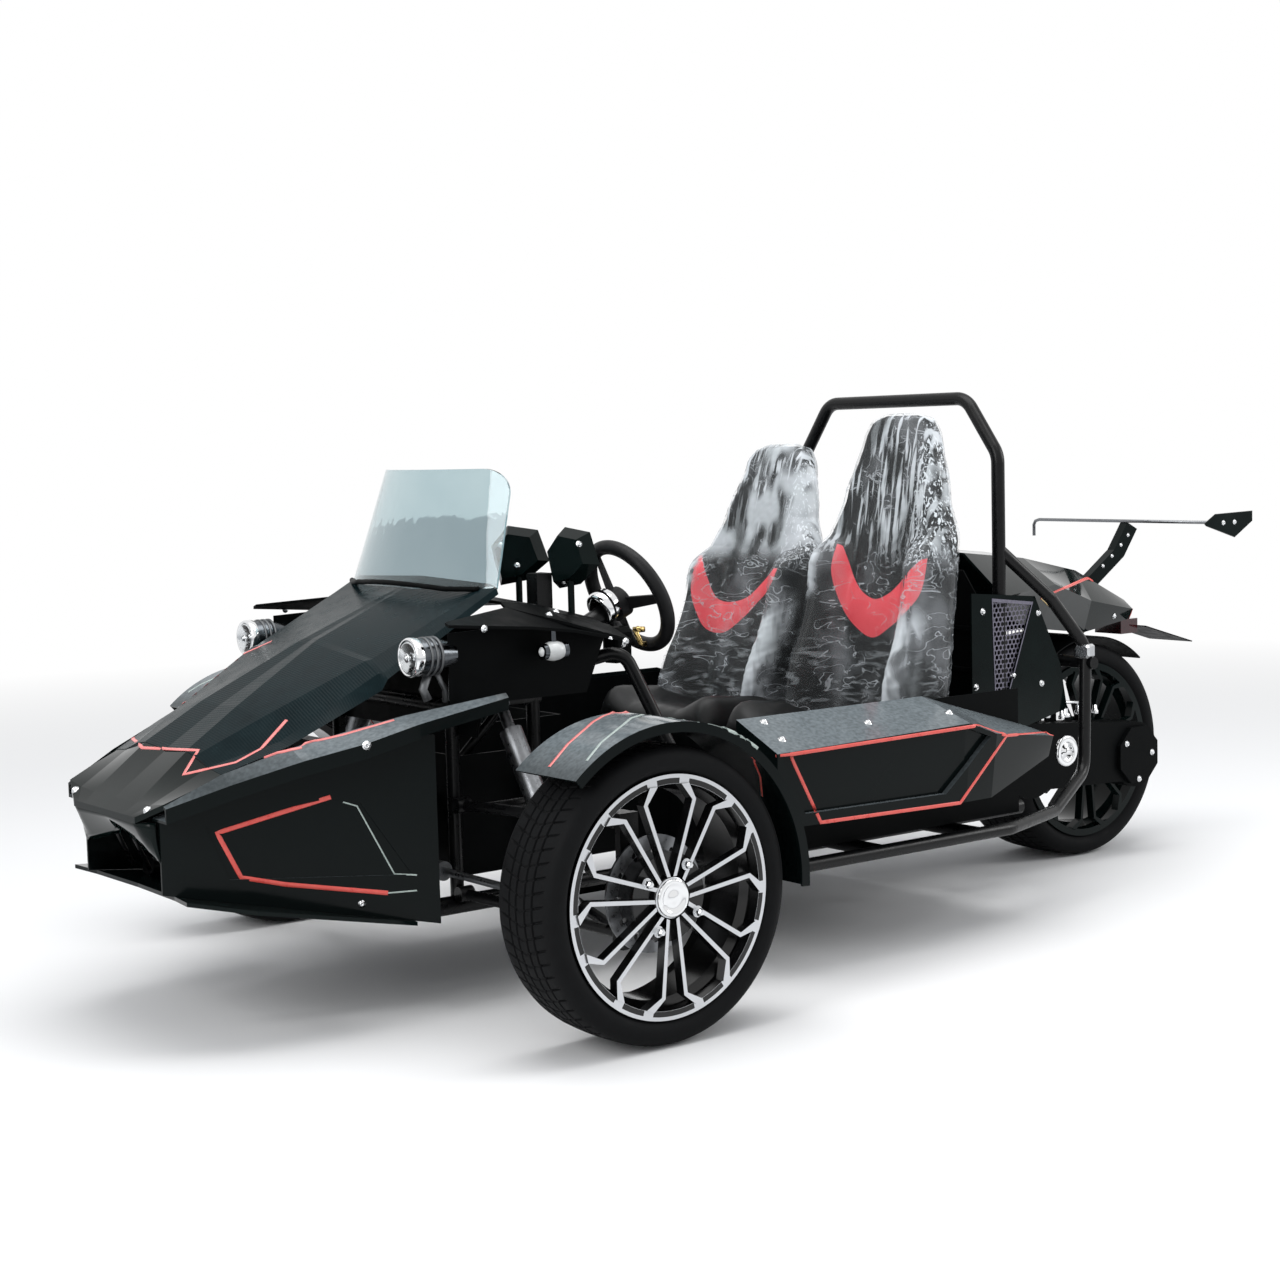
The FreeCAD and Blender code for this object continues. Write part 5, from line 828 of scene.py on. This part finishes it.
# Kick panels under the dash on both sides, and a web under the tail
for label, side in SIDES:
    panel("kick_panel_" + label, [(x, side * KICK_Y, z) for x, z in KICK_OUTLINE], KICK_THICK)
panel("tail_web", [(x, WEB_Y, z) for x, z in WEB_OUTLINE], KICK_THICK)

# Bright fittings beside the steering wheel, on the drive case and on the wing's arm; profiles in millimetres
COLUMN_AXIS = Vector((0.906308, 0, -0.422618))
BOSS_PLACE = Vector((0.4925, 0.248, 0.812)) + COLUMN_AXIS * 0.050
CLIP_PLACE = Vector((0.47782, 0.262, 0.716245))
CLIP_HOOK = ((0, 0, 0.016), (0.010, 0.004, 0.004), (0.004, 0.010, -0.016), (-0.012, 0.006, -0.020))
SWITCH_PLACE = Vector((0.533606, 0.258, 0.700))
BOSS = ((0, 30), (6, 36), (34, 38), (40, 35), (42, 30), (30, 28))
ARM_BOLT_PIXELS = ((1128, 535), (1121, 545), (1112, 556), (1103, 566))
# places on the drive case, each with the fitting's radius in millimetres
DRIVE_FITTINGS = ((-0.985, 0.150, 0.398, 14), (-1.02, 0.165, 0.404, 10), (-1.05, 0.140, 0.398, 12),
                  (-0.95, 0.170, 0.397, 8), (-1.09, 0.160, 0.398, 9), (-0.92, 0.145, 0.402, 12))
DRIVE_PIPE = ((-0.92, 0.145, 0.408), (-0.96, 0.15, 0.428), (-1.02, 0.165, 0.424), (-1.05, 0.14, 0.405))


def make_bright_bits():
    piece("column_boss", *turned(BOSS_PLACE, COLUMN_AXIS, BOSS), CHROME, "hub_steel")
    hook = tube(CLIP_HOOK, 6 * MM, origin=CLIP_PLACE)
    clip = block(CLIP_PLACE + UP * 12 * MM, (12 * MM, 9 * MM, 6 * MM))
    piece("column_clip", *merged([hook, clip]), BRASS, "hub_steel")
    piece("switch_box", *block(SWITCH_PLACE, (24 * MM, 22 * MM, 38 * MM), 0.2), ABS, smooth=False)
    bolts("switch_bolt", [(SWITCH_PLACE + LEFT * 22 * MM, LEFT)], 5)
    bolts("arm_bolts", [seen(surface("wing_arm"), p) for p in ARM_BOLT_PIXELS], 4)
    shapes = []
    for x, y, z, size in DRIVE_FITTINGS:
        profile = ((0, size), (8, size), (10, size * 0.7), (22, size * 0.6), (24, 0.1))
        shapes.append(turned(Vector((x, y, z - 10 * MM)), UP, profile, 18))
    shapes.append(tube(DRIVE_PIPE, 4 * MM))
    piece("drive_fittings", *merged(shapes), ZINC, "hub_steel")


make_bright_bits()

# Wing: a thin rod with a bolted arrow plate on the near end, and a foot bent down at the far end
WING_ROD_R = 4.5 * MM
WING_PLATE_HALF = 3 * MM
WING_BACK = 0.006
WING_OUTLINE = ((0.075, 0.0), (0.029, 0.024), (-0.125, 0.027), (-0.125, 0.0), (-0.050, -0.041),
                (0.066, -0.007))
WING_BOLTS_X = (0.0, -0.046)


def make_wing():
    low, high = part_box("wing_blade")
    tip = max((v.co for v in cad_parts["wing_arm"].data.vertices), key=lambda place: place.z)
    x, z = tip.x, tip.z + 3 * MM
    near, far = high.y - 4 * MM, low.y
    bend = ((near, 0), (0, 0), (far + 0.020, 0), (far + 0.006, 4), (far, 14), (far, 46))
    rod = tube([(x, y, z - drop * MM) for y, drop in bend], WING_ROD_R, 14)
    piece("wing_rod", *rod, STEEL, "hub_steel")
    rings = []
    for step, shrink in ((-1, 0.97), (0, 1.0), (1, 0.97)):
        rings.append([Vector((x - WING_BACK + a * shrink, near + step * WING_PLATE_HALF, z + b * shrink))
                      for a, b in WING_OUTLINE])
    plate = piece("wing_plate", *lofted(rings), GEL, smooth=False)
    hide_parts("wing_blade")
    face_y = near + WING_PLATE_HALF
    bolts("wing_bolts", [(Vector((x - WING_BACK + a, face_y, z)), LEFT) for a in WING_BOLTS_X], 5)


make_wing()

# Seats: heights as shares from the base to the top, with the lean back as a share of the full slope
SEAT_BASE = 0.400
SEAT_FRONT = -0.190
SEATS = {"left": (1, 1.172, 0.122), "right": (-1, 1.105, 0.180)}
SEAT_STATION_SHARES = (
    # height, lean, half width, bolster, thickness
    (0.006, 0.00, 0.80, 0.90, 0.95),
    (0.05, 0.00, 0.85, 0.98, 1.0),
    (0.155, 0.09, 0.87, 1.02, 1.0),
    (0.24, 0.17, 0.87, 1.0, 1.0),
    (0.36, 0.27, 0.86, 0.76, 1.0),
    (0.466, 0.37, 0.85, 0.66, 1.0),
    (0.56, 0.45, 0.845, 0.66, 1.0),
    (0.60, 0.49, 0.84, 0.50, 1.0),
    (0.64, 0.53, 0.82, 0.08, 1.0),
    (0.732, 0.62, 0.665, 0.03, 0.98),
    (0.79, 0.68, 0.615, 0.02, 0.96),
    (0.881, 0.79, 0.505, 0.0, 0.90),
    (0.946, 0.87, 0.44, 0.0, 0.82),
    (0.985, 0.94, 0.36, 0.0, 0.62),
    (1.0, 1.02, 0.20, 0.0, 0.30),
)
SEAT_HALF = 0.227
SEAT_BOLSTER = 0.106
SEAT_THICK = 0.105
BOLSTER_FROM = 0.44
BOLSTER_SPAN = 0.40
BACK_EDGE_FROM = 0.84
FRONT_SHARES = shares(40)
BACK_OUTLINE = ((1.0, 0.40), (0.985, 0.55), (0.93, 0.67), (0.80, 0.82), (0.5, 1.0), (0.0, 1.0), (-0.5, 1.0),
                (-0.80, 0.82), (-0.93, 0.67), (-0.985, 0.55), (-1.0, 0.40))
BACK_RINGS = 80
# cushion rows: forward, height, half width
CUSHION_ROWS = ((-0.262, 0.462, 0.205), (-0.200, 0.468, 0.214), (-0.120, 0.471, 0.220),
                (-0.040, 0.478, 0.222), (0.015, 0.486, 0.220), (0.042, 0.476, 0.214),
                (0.054, 0.456, 0.206), (0.052, 0.430, 0.198))
CUSHION_FORWARD = 22.5 * MM
CUSHION_BOLSTER_FROM = 0.42
CUSHION_BOLSTER = 0.036
CUSHION_EDGE_FROM = 0.82
CUSHION_DROP = 0.06
CUSHION_LOW = 0.402
CUSHION_UNDERSIDE = ((1.0, 0.5), (0.95, 0.12), (0.6, 0.0), (0.0, 0.0), (-0.6, 0.0), (-0.95, 0.12),
                     (-1.0, 0.5))
# the red crescents' outer and inner edges, in the photograph's pixels
CRESCENTS = {
    "left": (((836.8, 544), (831, 568.6), (836.8, 594), (849.6, 619.6), (871, 637.4), (890, 627),
              (905.7, 612), (921, 591.5), (927.4, 558.4)),
             ((843, 546), (849, 562), (855, 579), (863, 592), (875, 599), (888, 594), (899, 584), (910, 570),
              (920, 560))),
    "right": (((694.4, 556), (690.9, 590), (697, 614), (706.4, 629), (724, 632.3), (744, 617), (757, 603),
               (768, 590), (777.4, 568.6)),
              ((702.4, 555.2), (704, 567), (708, 579.3), (713, 592), (719, 599.4), (731, 602), (748, 596.7),
               (765.4, 579.3), (773.4, 568.6))),
}
CRESCENT_ALONG = 41
CRESCENT_ACROSS = 7
FILM_ROWS = 190
FILM_CLEAR = 4.2 * MM
FILM_RIDGE = 2.4 * MM
FILM_FAN = 1.6 * MM
FILM_CRUMPLE = 0.8 * MM
CRUMPLES_PER_METRE = 75
# heights as shares: where the head's folds start and the step over which they take over
HEAD_FROM = 0.56
HEAD_STEP = 0.12
# the fan over the chest: where its folds run together, how many there are, their middle height and reach
FAN_FOOT = 0.62
FAN_FOLDS = 26
FAN_MIDDLE = 0.38
FAN_HALF_HEIGHT = 0.13
FAN_HALF_WIDTH = 0.55


def eased(share):
    """A share held between 0 and 1, with a soft start and end."""
    held = max(0.0, min(1.0, share))
    return held * held * (3 - 2 * held)


def rounded_edge(away, start):
    """How far a side has turned down, from none at start to the whole at its edge."""
    return (max(0.0, away - start) / (1 - start)) ** 2.2


def between(rows, i, share):
    """The values between row i and the next one, on smooth curves through all the rows."""
    near = (rows[max(i - 1, 0)], rows[i], rows[i + 1], rows[min(i + 2, len(rows) - 1)])
    s2, s3 = share ** 2, share ** 3
    return [(2 * s3 - 3 * s2 + 1) * a + (s3 - 2 * s2 + share) * (b - before) / 2
            + (3 * s2 - 2 * s3) * b + (s3 - s2) * (after - a) / 2 for before, a, b, after in zip(*near)]


def back_ring(label, share_up):
    """The closed outline of the seat's back at one height."""
    side, top, slope = SEATS[label]
    rows = SEAT_STATION_SHARES
    i = max(0, min(len(rows) - 2, sum(1 for row in rows if row[0] <= share_up) - 1))
    _, lean, half, bolster, thick = between(rows, i, (share_up - rows[i][0]) / (rows[i + 1][0] - rows[i][0]))
    front = SEAT_FRONT - lean * slope
    half, bolster, thick = half * SEAT_HALF, bolster * SEAT_BOLSTER, thick * SEAT_THICK
    height = SEAT_BASE + share_up * (top - SEAT_BASE)
    points = []
    for share in FRONT_SHARES:
        away = abs(share)
        rise = eased((away - BOLSTER_FROM) / BOLSTER_SPAN) * bolster
        rise -= rounded_edge(away, BACK_EDGE_FROM) * (bolster + thick * 0.12)
        points.append(Vector((front + rise, side * SEAT_Y + share * half, height)))
    for share, depth in BACK_OUTLINE:
        points.append(Vector((front - thick * depth, side * SEAT_Y + share * half, height)))
    return points


def seat_piece(part, label, skin, finish=VINYL):
    made = piece("seat_" + part + "_" + label, *skin, finish, "seat_vinyl")
    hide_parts("seat_" + label)
    return made


def make_back(label):
    heights = [0.006 + 0.994 * (i / BACK_RINGS) ** 0.94 for i in range(BACK_RINGS + 1)]
    return seat_piece("back", label, lofted([back_ring(label, height) for height in heights]))


def make_cushion(label):
    """The seat's base: a dished pan between two bolsters, rounded over its front edge."""
    middle_y = SEATS[label][0] * SEAT_Y
    rings = []
    for forward, z, half in CUSHION_ROWS:
        x = forward + CUSHION_FORWARD
        ring = []
        for share in FRONT_SHARES:
            away = abs(share)
            rise = eased((away - CUSHION_BOLSTER_FROM) / BOLSTER_SPAN) * CUSHION_BOLSTER
            rise *= min(1.0, (0.075 - forward) / 0.06)
            rise -= rounded_edge(away, CUSHION_EDGE_FROM) * CUSHION_DROP
            ring.append(Vector((x, middle_y + share * half, z + rise)))
        for share, z_share in CUSHION_UNDERSIDE:
            height = CUSHION_LOW + z_share * (z - CUSHION_DROP - CUSHION_LOW)
            ring.append(Vector((x, middle_y + share * half, height)))
        rings.append(ring)
    made = seat_piece("cushion", label, lofted(rings))
    smooth = made.modifiers.new("round", "SUBSURF")
    smooth.levels = smooth.render_levels = 1


def spread(points, count):
    """Even places along a line of pixels, smoothed."""
    found = []
    for i in range(count):
        place = (len(points) - 1) * i / (count - 1)
        k = min(int(place), len(points) - 2)
        found.append(between(points, k, place - k))
    return found


def make_crescent(tree, label):
    """The red crescent sewn across the chest of the seat, a little proud of the vinyl."""
    outer, inner = (spread(line, CRESCENT_ALONG) for line in CRESCENTS[label])
    verts = []
    for out, into in zip(outer, inner):
        for k in range(CRESCENT_ACROSS):
            share = k / (CRESCENT_ACROSS - 1)
            pixel = (out[0] + (into[0] - out[0]) * share, out[1] + (into[1] - out[1]) * share)
            place, normal = seen(tree, pixel)
            lift = (3 * MM) * math.sin(math.pi * min(max(share, 0.02), 0.98)) ** 0.4 - 0.6 * MM
            verts.append(place + normal * lift)
    seat_piece("crescent", label, (verts, grid_faces(CRESCENT_ALONG, CRESCENT_ACROSS)), VINYL_RED)


def film_lift(label, point, share):
    """How far the film stands off the seat: hanging folds above, level ones below, a fan over the chest."""
    side = SEATS[label][0]
    across = (point.y - side * SEAT_Y) / SEAT_HALF
    head = max(0.0, min(1.0, (share - HEAD_FROM) / HEAD_STEP))
    # noise drawn out down the head and across the back, with a part of its own for each seat
    hang = noise.noise(Vector((across * 9 + share * 3, share * 2.5 + point.x * 8, side * 3.1)))
    low = noise.noise(Vector((across * 2.2, share * 26 - across * across * 7, side * 5.7)))
    fan = math.sin(math.atan2(across, FAN_FOOT - share) * FAN_FOLDS)
    fan *= max(0.0, 1 - abs(share - FAN_MIDDLE) / FAN_HALF_HEIGHT)
    fan *= max(0.0, 1 - abs(across) / FAN_HALF_WIDTH)
    crumple = noise.noise(point * CRUMPLES_PER_METRE)
    wave = hang * head + low * (1 - head)
    ridge = (1 - min(1.0, abs(wave) * 1.6)) ** 3
    return FILM_CLEAR + FILM_RIDGE * ridge + FILM_FAN * fan + FILM_CRUMPLE * crumple


def make_film(label):
    """The clear dust cover: a loose bag over the back that hangs in long creases from the head."""
    rings = []
    for i in range(FILM_ROWS + 1):
        ring = back_ring(label, 0.04 + 0.96 * i / FILM_ROWS)
        count = len(ring)
        rings.append([ring[k // 2].lerp(ring[(k // 2 + 1) % count], (k % 2) / 2) for k in range(count * 2)])
    columns = len(rings[0])
    verts = []
    for i, ring in enumerate(rings):
        above, below = rings[min(i + 1, FILM_ROWS)], rings[max(i - 1, 0)]
        for k, point in enumerate(ring):
            out = (ring[(k + 2) % columns] - ring[k - 2]).cross(above[k] - below[k])
            out = UP if i == FILM_ROWS or out.length <= 1e-9 else out.normalized()
            verts.append(point + out * film_lift(label, point, i / FILM_ROWS))
    faces = grid_faces(len(rings), columns, close_columns=True)
    faces.append(tuple(range(len(verts) - columns, len(verts))))
    made = piece("seat_film_" + label, verts, faces, POLYTHENE, "seat_vinyl")


for label in SEATS:
    back = surface(make_back(label))
    make_cushion(label)
    make_crescent(back, label)
    make_film(label)

# Windscreen rail along the foot of the screen
SCREEN_FOOT_X = 0.9225
SCREEN_RAIL_HALF = 0.290
SCREEN_RAIL_STEPS = 32
SCREEN_RAIL_R = 5.5 * MM


def make_screen_rail():
    low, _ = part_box("windscreen")
    line = []
    for share in shares(SCREEN_RAIL_STEPS):
        near = Vector((SCREEN_FOOT_X, share * SCREEN_RAIL_HALF, low.z + 4 * MM))
        place, _ = settle(surface("windscreen"), near, Vector((1, 0, 0.3)))
        line.append(place + Vector((4 * MM, 0, 1 * MM)))
    piece("screen_rail", *tube(line, SCREEN_RAIL_R), ABS)


make_screen_rail()

# Hub caps and nuts on the wheels; profiles and radii in millimetres
HUB_CAP = ((-2, 36), (3, 36), (5, 34), (5, 27), (3.5, 26), (3.5, 12), (5.5, 9), (6, 0.1))
NUT = ((-2, 9.5), (2, 9.5), (2.2, 8), (11, 7.6), (14, 5.5), (14.5, 0.1))
NUT_CIRCLE_R = 68 * MM
NUT_TURNS_DEG = (30.5, 120.5, 210.5, 300.5)
CLEAR_OF_FACE = 30 * MM


def make_hub(place, body):
    node = "wheel_" + place
    low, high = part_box(node)
    side = outer_side(place)
    centre = (low + high) / 2
    start_y = (high.y if side > 0 else low.y) + side * CLEAR_OF_FACE
    axis = LEFT * side
    tree = surface(node)
    spot, _ = settle(tree, Vector((centre.x, start_y, centre.z)), axis)
    cap = turned(Vector((centre.x, spot.y, centre.z)), axis, HUB_CAP)
    piece("hub_cap_" + place, *cap, CHROME, "hub_steel", body)
    nuts = []
    for turn in NUT_TURNS_DEG:
        angle = math.radians(turn)
        start = Vector((centre.x + NUT_CIRCLE_R * math.cos(angle), start_y,
                        centre.z + NUT_CIRCLE_R * math.sin(angle)))
        met, _, _, _ = tree.ray_cast(start, -axis)
        if met is not None:
            nuts.append(turned(met, axis, NUT, 6))
    piece("wheel_nuts_" + place, *merged(nuts), ZINC, "hub_steel", body, smooth=False)


for place, body in WHEELS.items():
    make_hub(place, body)

# Stage: pale floor, soft lamps and the camera
FLOOR_RADIUS = 30.0
FLOOR_SIDES = 48
# softboxes: name, place, target, width, height, watts
SOFTBOXES = (
    ("overhead", (0.3, 0.4, 4.2), (0, 0, 0.4), 4.2, 2.4, 120),
    ("front_left", (4.2, 1.2, 2.6), (0.4, 0, 0.5), 1.6, 2.2, 60),
    ("behind", (-3.6, 2.6, 2.4), (-0.6, 0, 0.6), 1.8, 1.6, 50),
)


def make_floor():
    # Matt white card that turns into the plain white of the studio far from the car.
    made = bpy.data.materials.new("pale_floor")
    made.use_nodes = True
    tree = made.node_tree
    tree.nodes.clear()
    place = add(tree, "TexCoord", out="Object")
    away = add(tree, "VectorMath", place, out="Value", operation="LENGTH")
    far = ramp(tree, away, (2.2, 7.0))
    matt = add(tree, "BsdfDiffuse", {"Color": linear("#f0f0f0")})
    white = add(tree, "Emission", {"Color": linear("#ffffff"), "Strength": 1.0})
    camera_ray = add(tree, "LightPath", out="Is Camera Ray")
    share = add(tree, "Math", far, camera_ray, operation="MULTIPLY")
    mixed = add(tree, "MixShader", share, matt, white)
    add(tree, "OutputMaterial", {"Surface": mixed})
    ring = [(FLOOR_RADIUS * math.cos(a), FLOOR_RADIUS * math.sin(a), 0) for a in turns(FLOOR_SIDES)]
    mesh = bpy.data.meshes.new("floor")
    mesh.from_pydata(ring, [], [tuple(range(FLOOR_SIDES))])
    mesh.materials.append(made)
    placed("floor", mesh)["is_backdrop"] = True


def make_world():
    # Plain white studio to the camera and in reflections, with a softer fill on matt surfaces.
    world = bpy.data.worlds.new("studio")
    bpy.context.scene.world = world
    world.use_nodes = True
    tree = world.node_tree
    tree.nodes.clear()
    fill = add(tree, "Background", {"Color": (0.9, 0.92, 0.95, 1), "Strength": 0.7})
    white = add(tree, "Background", {"Color": (1, 1, 1, 1), "Strength": 1.0})
    clear = add(tree, "LightPath", out="Is Camera Ray")
    for ray in ("Is Glossy Ray", "Is Transmission Ray"):
        clear = add(tree, "Math", clear, add(tree, "LightPath", out=ray), operation="MAXIMUM")
    add(tree, "OutputWorld", {"Surface": add(tree, "MixShader", clear, fill, white)})


def softbox(name, place, target, width, height, power):
    lamp = bpy.data.lights.new(name, "AREA")
    lamp.shape = "RECTANGLE"
    lamp.size, lamp.size_y = width, height
    lamp.energy = power
    holder = placed(name, lamp)
    holder.location = place
    holder.rotation_euler = (Vector(target) - Vector(place)).to_track_quat("-Z", "Y").to_euler()


def make_camera():
    data = bpy.data.cameras.new("photo_view")
    data.sensor_width = SENSOR_MM
    data.lens = CAMERA_FOCAL_PX / IMAGE_PX * SENSOR_MM
    data.clip_end = 200
    camera = placed("photo_view", data)
    camera.matrix_world = Matrix.Translation(CAMERA_PLACE) @ VIEW.to_4x4()
    bpy.context.scene.camera = camera


make_floor()
make_world()
for box in SOFTBOXES:
    softbox(*box)
make_camera()
bpy.context.scene.view_settings.view_transform = "Standard"

low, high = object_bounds()
